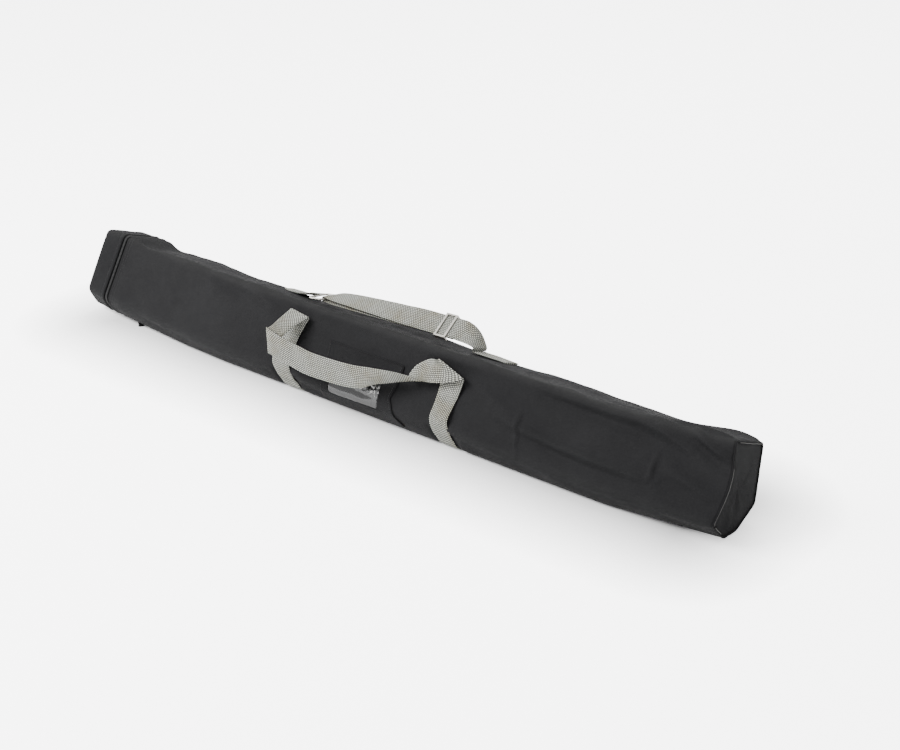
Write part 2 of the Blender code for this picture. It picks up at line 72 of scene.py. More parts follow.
SEAM_SETBACK = 0.0028
COIL_PITCH = 0.0021

E, A, B, C, D2, D1 = range(6)

# x, front bottom (y, z), front lean, top slope, back knee, foot back, foot front, scale
STATIONS = [
    (-HALF, (-0.025, 0.038), 31.0, 19.0, (0.096, 0.033), (0.058, 0.008), (-0.008, 0.008), 0.95),
    (ZIP_X, (-0.028, 0.034), 32.0, 20.0, (0.1015, 0.030), (0.060, 0.005), (-0.010, 0.005), 1.0),
    (-HALF + 0.21, (-0.0375, 0.031), 25.5, 21.0, (0.074, 0.032), (0.040, 0.0), (-0.021, 0.0), 1.0),
    (-HALF + 0.30, (-0.0405, 0.030), 22.5, 21.0, (0.060, 0.034), (0.030, 0.0), (-0.0255, 0.0), 1.0),
    (HALF - 0.16, (-0.0405, 0.030), 22.5, 22.0, (0.058, 0.032), (0.028, 0.0), (-0.0240, 0.0), 1.0),
    (HALF, (-0.038, 0.036), 22.5, 24.0, (0.065, 0.020), (0.022, 0.002), (-0.0080, 0.0055), 1.0),
]


# ---- small numeric helpers
def smooth(t):
    t = np.clip(t, 0.0, 1.0)
    return t * t * (3 - 2 * t)


def between(p, q, share):
    return p[0] + (q[0] - p[0]) * share, p[1] + (q[1] - p[1]) * share


def bell(value, centre, width):
    return np.exp(-((value - centre) / width) ** 2)


def lattice(i, j, seed):
    value = np.sin(i * 127.1 + j * 311.7 + seed * 74.7) * 43758.5453
    return value - np.floor(value)


def noise2(u, v, seed):
    """Smooth value noise between -1 and 1."""
    u = np.asarray(u, float)
    v = np.asarray(v, float)
    i = np.floor(u)
    j = np.floor(v)
    fu = smooth(u - i)
    fv = smooth(v - j)
    low = lattice(i, j, seed) * (1 - fu) + lattice(i + 1, j, seed) * fu
    high = lattice(i, j + 1, seed) * (1 - fu) + lattice(i + 1, j + 1, seed) * fu
    return 2 * (low * (1 - fv) + high * fv) - 1


def crease(x, s, path, height, width):
    """A soft ridge (or valley, if height is negative) along a path of (x, s) points."""
    best = np.full(x.shape, 9.0)
    along = np.zeros(x.shape)
    total = sum(math.dist(p, q) for p, q in zip(path, path[1:]))
    done = 0.0
    for p, q in zip(path, path[1:]):
        size = math.dist(p, q)
        dx, ds = (q[0] - p[0]) / size, (q[1] - p[1]) / size
        t = np.clip((x - p[0]) * dx + (s - p[1]) * ds, 0, size)
        gap = np.hypot(x - p[0] - dx * t, s - p[1] - ds * t)
        nearer = gap < best
        best = np.where(nearer, gap, best)
        along = np.where(nearer, (done + t) / total, along)
        done += size
    fade = np.sqrt(np.clip(np.sin(np.pi * np.clip(along, 0.02, 0.98)), 0, 1))
    return height * fade * bell(best, 0.0, width)


# ---- outline of the case
def station_corners(station):
    _, low, lean, slope, knee, back, front, scale = station
    lean = math.radians(lean)
    slope = math.radians(slope)
    top = (low[0] + FRONT_HEIGHT * scale * math.sin(lean), low[1] + FRONT_HEIGHT * scale * math.cos(lean))
    far = (top[0] + TOP_WIDTH * scale * math.cos(slope), top[1] - TOP_WIDTH * scale * math.sin(slope))
    return [low, top, far, knee, back, front]


def corner_table():
    """Corner positions on a fine grid along X, blended so that no station shows as a kink."""
    xs = np.linspace(-HALF - 0.04, HALF + 0.04, 601)
    known = np.array([station_corners(s) for s in STATIONS])
    places = np.array([s[0] for s in STATIONS])
    reach = 13
    kernel = np.hanning(2 * reach + 1)
    kernel /= kernel.sum()
    table = np.zeros((len(xs), 6, 2))
    blended = table.copy()
    for c in range(6):
        for k in range(2):
            table[:, c, k] = np.interp(xs, places, known[:, c, k])
            padded = np.pad(table[:, c, k], reach, mode="edge")
            blended[:, c, k] = np.convolve(padded, kernel, mode="valid")
    near_end = smooth((HALF - np.abs(xs)) / 0.05)[:, None, None]
    table = table * (1 - near_end) + blended * near_end
    return xs, table


TABLE_X, TABLE = corner_table()
ORDER = (D1, E, A, B, C, D2)
RADII = {E: 0.017, A: 0.012, B: 0.016, C: 0.016, D2: 0.014, D1: 0.017}
ARC = 8
SPANS = (6, 10, 38, 28, 20, 12, 6)


def corners_at(x):
    return np.array([[np.interp(x, TABLE_X, TABLE[:, c, k]) for k in range(2)] for c in range(6)])


def section(x):
    """The rounded outline at x, as points in order from the middle of the foot, and arc lengths from E."""
    loop = corners_at(x)
    firm = 0.80 + 0.20 * smooth((HALF - abs(x)) / 0.07)
    middle = (loop[D1] + loop[D2]) / 2
    arcs = []
    for n, c in enumerate(ORDER):
        before = loop[ORDER[n - 1]]
        after = loop[ORDER[(n + 1) % 6]]
        p = loop[c]
        u = before - p
        v = after - p
        lu, lv = np.linalg.norm(u), np.linalg.norm(v)
        u, v = u / lu, v / lv
        half = math.acos(np.clip(u @ v, -1, 1)) / 2
        t = min(RADII[c] * firm / math.tan(half), 0.42 * lu, 0.42 * lv)
        turn = np.linspace(0, 1, ARC + 1)[:, None]
        arcs.append((1 - turn) ** 2 * (p + u * t) + 2 * turn * (1 - turn) * p + turn ** 2 * (p + v * t))
    rows = [middle[None, :]]
    for n, span in enumerate(SPANS):
        start = rows[-1][-1]
        stop = arcs[n][0] if n < 6 else middle
        step = np.linspace(0, 1, span + 1)[1:-1, None]
        rows.append(start + (stop - start) * step)
        if n < 6:
            rows.append(arcs[n])
    points = np.concatenate(rows)
    closed = np.concatenate([points, points[:1]])
    lengths = np.concatenate([[0], np.cumsum(np.linalg.norm(np.diff(closed, axis=0), axis=1))])
    return points, lengths


def corner_column(corner):
    """The column of a section that runs along the middle of a rounded corner."""
    n = ORDER.index(corner)
    return sum(SPANS[:n + 1]) + ARC * n + ARC // 2


def hem_bulge(x, s):
    """How far the cloth's far end hangs past the end panel."""
    near = smooth((x - HALF + 0.030) / 0.027)
    front = np.sin(np.pi * np.clip((s + 0.004) / 0.112, 0, 1)) ** 1.2
    top = 0.25 * np.sin(np.pi * np.clip((s - 0.106) / 0.080, 0, 1))
    return near * (0.0075 * front + 0.0030 * top)


class Skin:
    """A cloth surface round the case between two places along X."""

    def __init__(self, x0, x1, step, relief, room=None):
        count = max(2, int(round((x1 - x0) / step)) + 1)
        self.x = np.linspace(x0, x1, count)
        sections = [section(x) for x in self.x]
        flat = np.array([s[0] for s in sections])
        lengths = np.array([s[1] for s in sections])
        self.s = lengths - lengths[:, corner_column(E)][:, None]
        rows, cols = flat.shape[:2]
        self.points = np.zeros((rows, cols, 3))
        self.points[:, :, 0] = self.x[:, None]
        self.points[:, :, 1:] = flat
        self.normals = self.find_normals()
        xx = np.repeat(self.x[:, None], cols, axis=1)
        self.points = self.points + self.normals * relief(xx, self.s[:, :-1], self)[:, :, None]
        self.points[:, :, 0] += hem_bulge(xx, self.s[:, :-1])
        lowest = GROUND_GAP + (room(xx, self.s[:, :-1], self) if room else 0.0)
        self.points[:, :, 2] = np.maximum(self.points[:, :, 2], lowest)
        self.normals = self.find_normals()

    def find_normals(self):
        along = np.gradient(self.points, axis=0)
        around = np.roll(self.points, -1, axis=1) - np.roll(self.points, 1, axis=1)
        normals = np.cross(around, along)
        normals /= np.linalg.norm(normals, axis=2)[:, :, None] + 1e-12
        middle = self.points.mean(axis=1, keepdims=True)
        if np.sum((self.points - middle) * normals) < 0:
            normals = -normals
        return normals

    def at(self, x, s, out=0.0):
        """The point at x, a distance s up from the front bottom corner, lifted by out."""
        x = min(max(x, self.x[0]), self.x[-1])
        t = (x - self.x[0]) / (self.x[-1] - self.x[0]) * (len(self.x) - 1)
        i = min(int(t), len(self.x) - 2)
        t -= i
        place = np.zeros(3)
        normal = np.zeros(3)
        for row, share in ((i, 1 - t), (i + 1, t)):
            marks = self.s[row]
            q = (s - marks[0]) % (marks[-1] - marks[0]) + marks[0]
            for grid, sums in ((self.points, place), (self.normals, normal)):
                for k in range(3):
                    values = np.append(grid[row, :, k], grid[row, 0, k])
                    sums[k] += share * np.interp(q, marks, values)
        normal /= np.linalg.norm(normal)
        return place + normal * out


# ---- mesh makers
def finish_object(name, mesh, material, smooth_shade=True):
    """Link a mesh as an object with one material."""
    item = bpy.data.objects.new(name, mesh)
    bpy.context.collection.objects.link(item)
    if smooth_shade:
        for polygon in mesh.polygons:
            polygon.use_smooth = True
    mesh.materials.append(material)
    return item


def make_object(name, verts, faces, material, uvs=None, wear_and_sheen=None):
    """An object from arrays. uvs is one (u, v) per face corner, in the faces' order."""
    mesh = bpy.data.meshes.new(name)
    mesh.from_pydata([tuple(map(float, v)) for v in verts], [], faces)
    if uvs is not None:
        layer = mesh.uv_layers.new(name="UVMap")
        layer.data.foreach_set("uv", np.asarray(uvs, float).reshape(-1))
    if wear_and_sheen is not None:
        attribute = mesh.attributes.new("wear_and_sheen", "FLOAT", "POINT")
        attribute.data.foreach_set("value", np.asarray(wear_and_sheen, float))
    mesh.validate()
    mesh.update()
    return finish_object(name, mesh, material)


def shell_sides(rows, cols, wrap, uv):
    """Faces and uvs of a shell's outer side and, turned over, of its inner side."""
    shift = rows * cols
    faces = []
    uvs = []
    for r in range(rows - 1):
        for c in range(cols if wrap else cols - 1):
            d = (c + 1) % cols
            q = (r * cols + c, r * cols + d, (r + 1) * cols + d, (r + 1) * cols + c)
            w = (uv[r, c], uv[r, c + 1], uv[r + 1, c + 1], uv[r + 1, c])
            faces += [q, tuple(shift + k for k in reversed(q))]
            uvs.extend(w)
            uvs.extend(reversed(w))
    return faces, uvs


def shell_object(name, outer, inner, material, uv, wrap=False, wear_and_sheen=None):
    """A closed shell between an outer and an inner grid of points, with the grid's uv on its faces."""
    rows, cols = outer.shape[:2]
    verts = np.concatenate([outer.reshape(-1, 3), inner.reshape(-1, 3)])
    shift = rows * cols
    spans = cols if wrap else cols - 1
    faces, uvs = shell_sides(rows, cols, wrap, uv)
    for r in (0, rows - 1):
        for c in range(spans):
            d = (c + 1) % cols
            q = (r * cols + c, r * cols + d, shift + r * cols + d, shift + r * cols + c)
            faces.append(q if r else q[::-1])
            uvs.extend([uv[r, c], uv[r, c + 1], uv[r, c + 1], uv[r, c]])
    if not wrap:
        for c in (0, cols - 1):
            for r in range(rows - 1):
                q = (r * cols + c, (r + 1) * cols + c, shift + (r + 1) * cols + c, shift + r * cols + c)
                faces.append(q[::-1] if c else q)
                uvs.extend([uv[r, c], uv[r + 1, c], uv[r + 1, c], uv[r, c]])
    both = None if wear_and_sheen is None else np.concatenate([wear_and_sheen.reshape(-1), wear_and_sheen.reshape(-1)])
    item = make_object(name, verts, faces, material, uvs, wear_and_sheen=both)
    recalculate(item)
    return item


def place_piece(item, body_name, slot_name, *nodes):
    """Ride a piece on a body and stand in for CAD nodes, which it hides; the slot name is not used."""
    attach(item, body_name)
    take_over(item, slot_name, *nodes)
    return item


def take_over(item, slot_name, *nodes):
    if nodes:
        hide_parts(*nodes)


def recalculate(item):
    """Turn every face outward."""
    work = bmesh.new()
    work.from_mesh(item.data)
    bmesh.ops.recalc_face_normals(work, faces=work.faces)
    work.to_mesh(item.data)
    work.free()


def spline(values, steps):
    values = np.asarray(values, float)
    last = len(values) - 1
    rows = []
    for i in range(last):
        p0, p1, p2, p3 = values[max(i - 1, 0)], values[i], values[i + 1], values[min(i + 2, last)]
        for n in range(steps):
            t = n / steps
            rows.append(0.5 * (2 * p1 + (p2 - p0) * t + (2 * p0 - 5 * p1 + 4 * p2 - p3) * t * t
                               + (3 * p1 - p0 - 3 * p2 + p3) * t ** 3))
    rows.append(values[last])
    return np.array(rows)


def laid_on(skin, name, out, thick, edges, material, marks, across, lift=None):
    """A sheet that lies on a skin. edges gives its two x at each distance s in marks."""
    outer = np.zeros((len(marks), across, 3))
    inner = np.zeros((len(marks), across, 3))
    uv = np.zeros((len(marks), across, 2))
    for i, s in enumerate(marks):
        left, right = edges(s)
        for j in range(across):
            x = left + (right - left) * j / (across - 1)
            extra = lift(x, s) if lift else 0.0
            outer[i, j] = skin.at(x, s, out + extra)
            inner[i, j] = skin.at(x, s, out - thick)
            uv[i, j] = (x, s)
    return shell_object(name, outer, inner, material, uv)


def ribbon(name, rulings, material, thick=WEB_THICK, steps=8, across=10, seed=1):
    """Woven webbing between pairs of edge points, with soft rounded edges and a slight wander."""
    lefts = spline([r[0] for r in rulings], steps)
    rights = spline([r[1] for r in rulings], steps)
    middles = (lefts + rights) / 2
    run = np.concatenate([[0], np.cumsum(np.linalg.norm(np.diff(middles, axis=0), axis=1))])
    tangents = np.gradient(middles, axis=0)
    widths = rights - lefts
    normals = np.cross(tangents, widths)
    normals /= np.linalg.norm(normals, axis=1)[:, None] + 1e-12
    u = np.linspace(0, 1, across + 1)
    edge = np.minimum(u, 1 - u) * WEB
    profile = np.sqrt(np.clip(1 - (1 - np.clip(edge / (thick * 0.6), 0, 1)) ** 2, 0.12, 1))
    rows = len(run)
    outer = np.zeros((rows, across + 1, 3))
    inner = np.zeros((rows, across + 1, 3))
    uv = np.zeros((rows, across + 1, 2))
    wave = 0.00025 * noise2(run[:, None] / 0.013, u[None, :] * 2, seed)
    for c in range(across + 1):
        spine = lefts + widths * u[c] + normals * wave[:, c][:, None]
        outer[:, c] = spine + normals * (thick / 2 * profile[c])
        inner[:, c] = spine - normals * (thick / 2 * profile[c])
        uv[:, c, 0] = u[c] * WEB
        uv[:, c, 1] = run
    return shell_object(name, outer, inner, material, uv)


def ring_faces(rings, sides, base=0, closed=False):
    """The sides of a tube through rings of points, and its two ends where it is open."""
    faces = []
    for i in range(rings if closed else rings - 1):
        j = (i + 1) % rings
        for n in range(sides):
            m = (n + 1) % sides
            corners = (i * sides + n, i * sides + m, j * sides + m, j * sides + n)
            faces.append(tuple(base + k for k in corners))
    if not closed:
        faces.append(tuple(base + n for n in range(sides))[::-1])
        faces.append(tuple(base + (rings - 1) * sides + n for n in range(sides)))
    return faces


def tube(name, path, radius, material, sides=10, closed=False):
    """A round cord or wire along a path."""
    path = np.asarray(path, float)
    count = len(path)
    if closed:
        tangents = np.roll(path, -1, axis=0) - np.roll(path, 1, axis=0)
    else:
        tangents = np.gradient(path, axis=0)
    tangents /= np.linalg.norm(tangents, axis=1)[:, None] + 1e-12
    guide = np.array([0.0, 0.0, 1.0]) if abs(tangents[0][2]) < 0.9 else np.array([0.0, 1.0, 0.0])
    side = np.cross(tangents[0], guide)
    verts = []
    run = np.concatenate([[0], np.cumsum(np.linalg.norm(np.diff(path, axis=0), axis=1))])
    for i in range(count):
        side = side - tangents[i] * (side @ tangents[i])
        side /= np.linalg.norm(side) + 1e-12
        lift = np.cross(tangents[i], side)
        for n in range(sides):
            angle = 2 * math.pi * n / sides
            verts.append(path[i] + (side * math.cos(angle) + lift * math.sin(angle)) * radius)
    uvs = []
    for i in range(count if closed else count - 1):
        v0 = run[i]
        v1 = run[i + 1] if i + 1 < count else run[i] + 0.002
        for n in range(sides):
            u0, u1 = n / sides * 0.01, (n + 1) / sides * 0.01
            uvs.extend([(u0, v0), (u1, v0), (u1, v1), (u0, v1)])
    if not closed:
        uvs.extend([(0, 0)] * (2 * sides))
    faces = ring_faces(count, sides, closed=closed)
    item = make_object(name, verts, faces, material, uvs)
    recalculate(item)
    return item


# Along one stitch: place, share of the radius, and lift in radii, so that its ends sink in
STITCH_PROFILE = ((0.0, 0.35, -0.6), (0.25, 1.0, 0.2), (0.75, 1.0, 0.2), (1.0, 0.35, -0.6))
STITCH_SIDES = 5


def stitches(name, dashes, material, radius=0.00026):
    """Short thread stitches from (start, end, lift direction) triples."""
    verts = []
    faces = []
    for start, end, lift in dashes:
        start, end, lift = (np.asarray(p, float) for p in (start, end, lift))
        run = end - start
        size = np.linalg.norm(run)
        run = run / size
        side = np.cross(run, lift)
        side /= np.linalg.norm(side) + 1e-12
        up = np.cross(side, run)
        base = len(verts)
        for t, r, h in STITCH_PROFILE:
            for n in range(STITCH_SIDES):
                angle = 2 * math.pi * n / STITCH_SIDES
                offset = (side * math.cos(angle) + up * math.sin(angle)) * radius * r
                verts.append(start + run * size * t + offset + up * radius * h)
        faces += ring_faces(len(STITCH_PROFILE), STITCH_SIDES, base)
    item = make_object(name, verts, faces, material)
    recalculate(item)
    return item


def stitch_line(skin, path, length=0.0026, gap=0.0012, out=0.0001):
    """Stitch triples along a path of (x, s) points on a skin."""
    dashes = []
    for p, q in zip(path, path[1:]):
        size = math.dist(p, q)
        count = max(1, int(size / (length + gap)))
        for n in range(count):
            t0 = n / count
            t1 = t0 + length / (length + gap) / count
            a = skin.at(*between(p, q, t0), out)
            b = skin.at(*between(p, q, t1), out)
            above = skin.at(*between(p, q, t0), out + 0.002)
            dashes.append((a, b, above - a))
    return dashes


# ---- materials
class Nodes:
    """Short forms for building a material's node tree."""

    def __init__(self, name):
        self.material = bpy.data.materials.new(name)
        self.material.use_nodes = True
        self.tree = self.material.node_tree
        self.shader = self.tree.nodes["Principled BSDF"]

    def add(self, kind, **values):
        node = self.tree.nodes.new(kind)
        for key, value in values.items():
            setattr(node, key, value)
        return node

    def link(self, out, into):
        self.tree.links.new(out, into)

    def math(self, operation, a, b=None, c=None):
        node = self.add("ShaderNodeMath", operation=operation)
        for socket, value in zip(node.inputs, (a, b, c)):
            if value is None:
                continue
            if isinstance(value, (int, float)):
                socket.default_value = value
            else:
                self.link(value, socket)
        return node.outputs[0]

    def times(self, a, b):
        return self.math("MULTIPLY", a, b)

    def plus(self, a, b):
        return self.math("ADD", a, b)

    def times_plus(self, a, b, c):
        return self.math("MULTIPLY_ADD", a, b, c)

    def noise(self, scale, detail=3.0, roughness=0.5, distortion=0.0):
        node = self.add("ShaderNodeTexNoise")
        node.inputs["Scale"].default_value = scale
        node.inputs["Detail"].default_value = detail
        node.inputs["Roughness"].default_value = roughness
        node.inputs["Distortion"].default_value = distortion
        self.link(self.place(), node.inputs["Vector"])
        return node.outputs["Fac"]

    def place(self):
        return self.add("ShaderNodeTexCoord").outputs["Object"]

    def uv(self):
        split = self.add("ShaderNodeSeparateXYZ")
        self.link(self.add("ShaderNodeTexCoord").outputs["UV"], split.inputs[0])
        return split.outputs[0], split.outputs[1]

    def ramp(self, factor, stops):
        node = self.add("ShaderNodeValToRGB")
        ramp = node.color_ramp
        while len(ramp.elements) < len(stops):
            ramp.elements.new(0.5)
        for element, (place, colour) in zip(ramp.elements, stops):
            element.position = place
            element.color = tuple(colour) + (1.0,)
        self.link(factor, node.inputs[0])
        return node.outputs[0]

    def mix(self, factor, a, b, blend="MIX"):
        node = self.add("ShaderNodeMix", data_type="RGBA", blend_type=blend)
        for socket, value in ((node.inputs[0], factor), (node.inputs[6], a), (node.inputs[7], b)):
            if isinstance(value, (int, float)):
                socket.default_value = value
            elif isinstance(value, tuple):
                socket.default_value = value + (1.0,)
            else:
                self.link(value, socket)
        return node.outputs[2]

    def wave(self, value, period):
        return self.math("SINE", self.times(value, 2 * math.pi / period))

    def shade(self, colour, factor):
        """The colour times a number."""
        grey = self.add("ShaderNodeCombineColor")
        for socket in grey.inputs:
            self.link(factor, socket)
        return self.mix(1.0, colour, grey.outputs[0], "MULTIPLY")

    def bump(self, height, distance, strength=1.0, before=None):
        node = self.add("ShaderNodeBump")
        node.inputs["Distance"].default_value = distance
        node.inputs["Strength"].default_value = strength
        self.link(height, node.inputs["Height"])
        if before is not None:
            self.link(before, node.inputs["Normal"])
        return node.outputs[0]

    def set(self, **values):
        for key, value in values.items():
            socket = self.shader.inputs[key.replace("_", " ")]
            if isinstance(value, (int, float, tuple)):
                socket.default_value = value
            else:
                self.link(value, socket)
        return self.material


def cloth_material(name, dark, light, worn_and_sheen, period=0.0011, rough=0.62):
    n = Nodes(name)
    u, v = n.uv()
    weave = n.times(n.wave(u, period), n.wave(v, period))
    cloud = n.noise(9.0, 4.0, 0.6)
    fine = n.noise(420.0, 2.0, 0.6)
    colour = n.ramp(n.plus(n.times(cloud, 0.7), n.times(fine, 0.3)),
                    [(0.3, dark), (0.7, light)])
    # Lighter cloth along the corners: partly rubbed wear, partly a painted sheen highlight where the edges
    # catch the light.
    wear_and_sheen = n.add("ShaderNodeAttribute", attribute_name="wear_and_sheen").outputs["Fac"]
    patchy = n.times(wear_and_sheen, n.plus(n.noise(60.0, 4.0, 0.7), 0.15))
    colour = n.mix(patchy, colour, worn_and_sheen)
    colour = n.shade(colour, n.times_plus(weave, 0.10, 0.95))
    rumple = n.bump(n.noise(120.0, 5.0, 0.62), 0.0012, 0.55)
    normal = n.bump(weave, 0.00016, 0.8, rumple)
    rough_node = n.times_plus(n.noise(35.0, 3.0, 0.6), 0.16, rough - 0.08)
    return n.set(Base_Color=colour, Roughness=rough_node, Normal=normal, Specular_IOR_Level=0.10,
                 Sheen_Weight=0.0, Sheen_Roughness=0.45)


def webbing_material(name, base, across=0.0025, along=0.0031):
    """Coarse basket weave from the strip's own width and length in metres."""
    n = Nodes(name)
    u, v = n.uv()
    column = n.math("DIVIDE", u, across)
    half_step = n.times(n.math("MODULO", n.math("FLOOR", column), 2.0), 0.5)
    row = n.plus(n.math("DIVIDE", v, along), half_step)
    bulge_u = n.math("SINE", n.times(n.math("FRACT", column), math.pi))
    bulge_v = n.math("SINE", n.times(n.math("FRACT", row), math.pi))
    knot = n.math("POWER", n.times(bulge_u, bulge_v), 0.6)
    fibre = n.wave(n.plus(u, n.times(v, 0.35)), 0.0005)
    # Painted shade: the colour darkens with the weave's relief, darkest in the hollows between the knots.
    dark = tuple(c * 0.04 for c in base)
    middle = tuple(c * 0.40 for c in base)
    colour = n.ramp(knot, [(0.25, dark), (0.62, middle), (0.96, base)])
    stain = n.noise(22.0, 5.0, 0.6)
    tint = n.ramp(stain, [(0.34, (0.78, 0.72, 0.58)), (0.50, (0.97, 0.97, 0.93)), (0.70, (1.0, 1.0, 1.0))])
    colour = n.mix(0.85, colour, tint, "MULTIPLY")
    colour = n.shade(colour, n.times_plus(n.noise(130.0, 3.0, 0.6), 0.5, 0.75))
    fuzz = n.noise(700.0, 2.0, 0.5)
    fine = n.plus(n.times(fibre, 0.06), n.times(fuzz, 0.2))
    height = n.plus(knot, fine)
    return n.set(Base_Color=colour, Roughness=0.78, Normal=n.bump(height, 0.0030, 1.0),
                 Specular_IOR_Level=0.25, Sheen_Weight=0.05, Sheen_Roughness=0.5)


def metal_material(name, colour, rough):
    n = Nodes(name)
    scratch = n.noise(240.0, 6.0, 0.7)
    tone = n.ramp(n.noise(70.0, 4.0, 0.6), [(0.3, tuple(c * 0.72 for c in colour)), (0.7, colour)])
    roughness = n.times_plus(scratch, 0.22, rough - 0.08)
    return n.set(Base_Color=tone, Roughness=roughness, Normal=n.bump(scratch, 0.0002, 0.35), Metallic=1.0)


def plastic_material(name, colour, rough):
    n = Nodes(name)
    grain = n.noise(500.0, 3.0, 0.6)
    tone = n.ramp(n.noise(50.0, 4.0, 0.6), [(0.3, tuple(c * 0.8 for c in colour)), (0.7, colour)])
    return n.set(Base_Color=tone, Roughness=n.times_plus(grain, 0.12, rough - 0.06),
                 Normal=n.bump(grain, 0.0003, 0.6))


def film_material(name):
    """Clear film, grey low on the window and dark above, with pale flecks painted as glints above the grey
    part.
    """
    n = Nodes(name)
    _, v = n.uv()
    wander = n.times(n.math("SUBTRACT", n.noise(70.0, 2.0, 0.5), 0.5), 0.010)
    up = n.times_plus(n.plus(v, wander), 20.0, 0.2)
    # Grey low on the window, dark above, with a wavering boundary.
    grey_low_dark_high = n.ramp(up, [(0.47, (0.016, 0.016, 0.0165)), (0.51, (0.0035, 0.0035, 0.004))])
    # Painted glints: pale flecks in a band above the grey part, added to the colour as highlights on the
    # crinkled film.
    painted_glint_flecks = n.ramp(n.noise(120.0, 3.0, 0.6, distortion=1.4), [(0.56, (0, 0, 0)), (0.60, (1, 1, 1))])
    band = n.ramp(up, [(0.44, (0, 0, 0)), (0.49, (1, 1, 1)), (0.70, (1, 1, 1)), (0.76, (0, 0, 0))])
    painted_glints = n.mix(1.0, painted_glint_flecks, band, "MULTIPLY")
    tone = n.mix(1.0, grey_low_dark_high, n.mix(1.0, painted_glints, (0.55, 0.55, 0.54), "MULTIPLY"), "ADD")
    crinkle = n.noise(160.0, 3.0, 0.55, distortion=0.6)
    return n.set(Base_Color=tone, Roughness=0.10, Alpha=0.85, Normal=n.bump(crinkle, 0.0012, 0.4),
                 Specular_IOR_Level=0.5, Coat_Weight=1.0, Coat_Roughness=0.03, Coat_IOR=1.55)


CLOTH = cloth_material("case_cloth_look", (0.0062, 0.0062, 0.0068), (0.0120, 0.0120, 0.0128),
                       (0.024, 0.024, 0.024))
LINING = cloth_material("lining_look", (0.014, 0.014, 0.016), (0.024, 0.024, 0.027), (0.030, 0.030, 0.032),
                        period=0.0016, rough=0.80)
TAPE = cloth_material("zip_tape_look", (0.0035, 0.0035, 0.0038), (0.0065, 0.0065, 0.0070),
                      (0.01, 0.01, 0.01), period=0.0009, rough=0.75)
BINDING = cloth_material("seam_binding_look", (0.0048, 0.0048, 0.0052), (0.0100, 0.0100, 0.0106),
                         (0.02, 0.02, 0.02), period=0.0013, rough=0.60)
TRIM = cloth_material("label_trim_look", (0.0050, 0.0050, 0.0056), (0.0095, 0.0095, 0.0102),
                      (0.02, 0.02, 0.02), period=0.0010, rough=0.55)
WEBBING = webbing_material("webbing_look", (0.86, 0.87, 0.80))
THREAD_DARK = plastic_material("dark_thread_look", (0.016, 0.016, 0.017), 0.55)
# A pale line along the far end's seam
PALE_SEAM_LINE = plastic_material("pale_seam_line_look", (0.12, 0.12, 0.115), 0.6)
THREAD_GREY = plastic_material("grey_thread_look", (0.50, 0.49, 0.45), 0.6)
COIL = plastic_material("zip_coil_look", (0.0030, 0.0030, 0.0033), 0.62)
METAL = metal_material("bright_metal_look", (0.62, 0.60, 0.55), 0.30)
DARK_METAL = metal_material("zip_metal_look", (0.20, 0.20, 0.205), 0.38)
CARD = plastic_material("card_look", (0.050, 0.050, 0.051), 0.65)
FILM = film_material("clear_film_look")


# ---- cloth skins
def web_room(x, s, skin):
    """How deep the cloth gives way to the webbing that runs under it, which slants near the front corner."""
    whole = (skin.s[:, -1] - skin.s[:, 0])[:, None]
    back = np.where(s > 0.2, s - whole, s)
    drift = WEB_DRIFT * smooth(1 - np.abs(back + 0.034) / 0.045)
    depth = np.zeros(x.shape)
    for centre in (LEG_LEFT_X, LEG_RIGHT_X):
        beside = smooth((WEB / 2 + 0.007 - np.abs(x - centre - drift)) / 0.005)
        depth = np.maximum(depth, beside)
    return WEB_ROOM * depth * smooth((0.006 - back) / 0.012) * smooth((back + 0.142) / 0.012)


# Creases in the case's cloth: path of (x, s), height (a valley is negative) and width
RIDGE_GAIN = 3.2
VALLEY_GAIN = 2.1
CREASE_SPREAD = 1.15
BODY_CREASES = [
    ([(0.225, 0.046), (0.262, 0.040), (0.340, 0.033), (0.415, 0.031), (0.470, 0.027)], 0.0017, 0.0055),
    ([(0.262, 0.030), (0.340, 0.022), (0.430, 0.020)], -0.0009, 0.0050),
    ([(0.250, 0.099), (0.350, 0.095), (0.437, 0.096), (0.467, 0.092), (0.505, 0.076)], 0.0016, 0.0050),
    ([(0.300, 0.084), (0.400, 0.084), (0.470, 0.076), (0.520, 0.062)], -0.0016, 0.0070),
    ([(0.267, 0.060), (0.270, 0.030), (0.274, 0.000)], 0.0010, 0.0022),
    ([(0.272, 0.056), (0.276, 0.028)], -0.0006, 0.0028),
    ([(0.468, 0.066), (0.466, 0.050), (0.463, 0.028)], 0.0012, 0.0024),
    ([(0.499, 0.106), (0.520, 0.094), (0.552, 0.080)], 0.0022, 0.0050),
    ([(0.500, 0.094), (0.525, 0.082), (0.553, 0.066)], -0.0018, 0.0055),
    ([(0.470, 0.118), (0.502, 0.112), (0.553, 0.110)], 0.0018, 0.0040),
    ([(0.480, 0.052), (0.515, 0.040), (0.552, 0.030)], 0.0011, 0.0060),
    ([(-0.300, 0.102), (-0.260, 0.090), (-0.215, 0.086)], -0.0018, 0.0100),
    ([(-0.240, 0.108), (-0.190, 0.094), (-0.160, 0.078)], 0.0014, 0.0090),
    ([(-0.440, 0.060), (-0.390, 0.040), (-0.350, 0.026)], -0.0010, 0.0100),
    ([(-0.080, 0.100), (-0.020, 0.090), (0.040, 0.086)], -0.0013, 0.0100),
    ([(0.080, 0.104), (0.130, 0.096), (0.200, 0.098), (0.240, 0.090)], 0.0012, 0.0080),
    ([(0.200, 0.070), (0.235, 0.060), (0.262, 0.048)], 0.0009, 0.0060),
    ([(0.180, 0.020), (0.230, 0.012), (0.300, 0.010)], -0.0010, 0.0070),
]


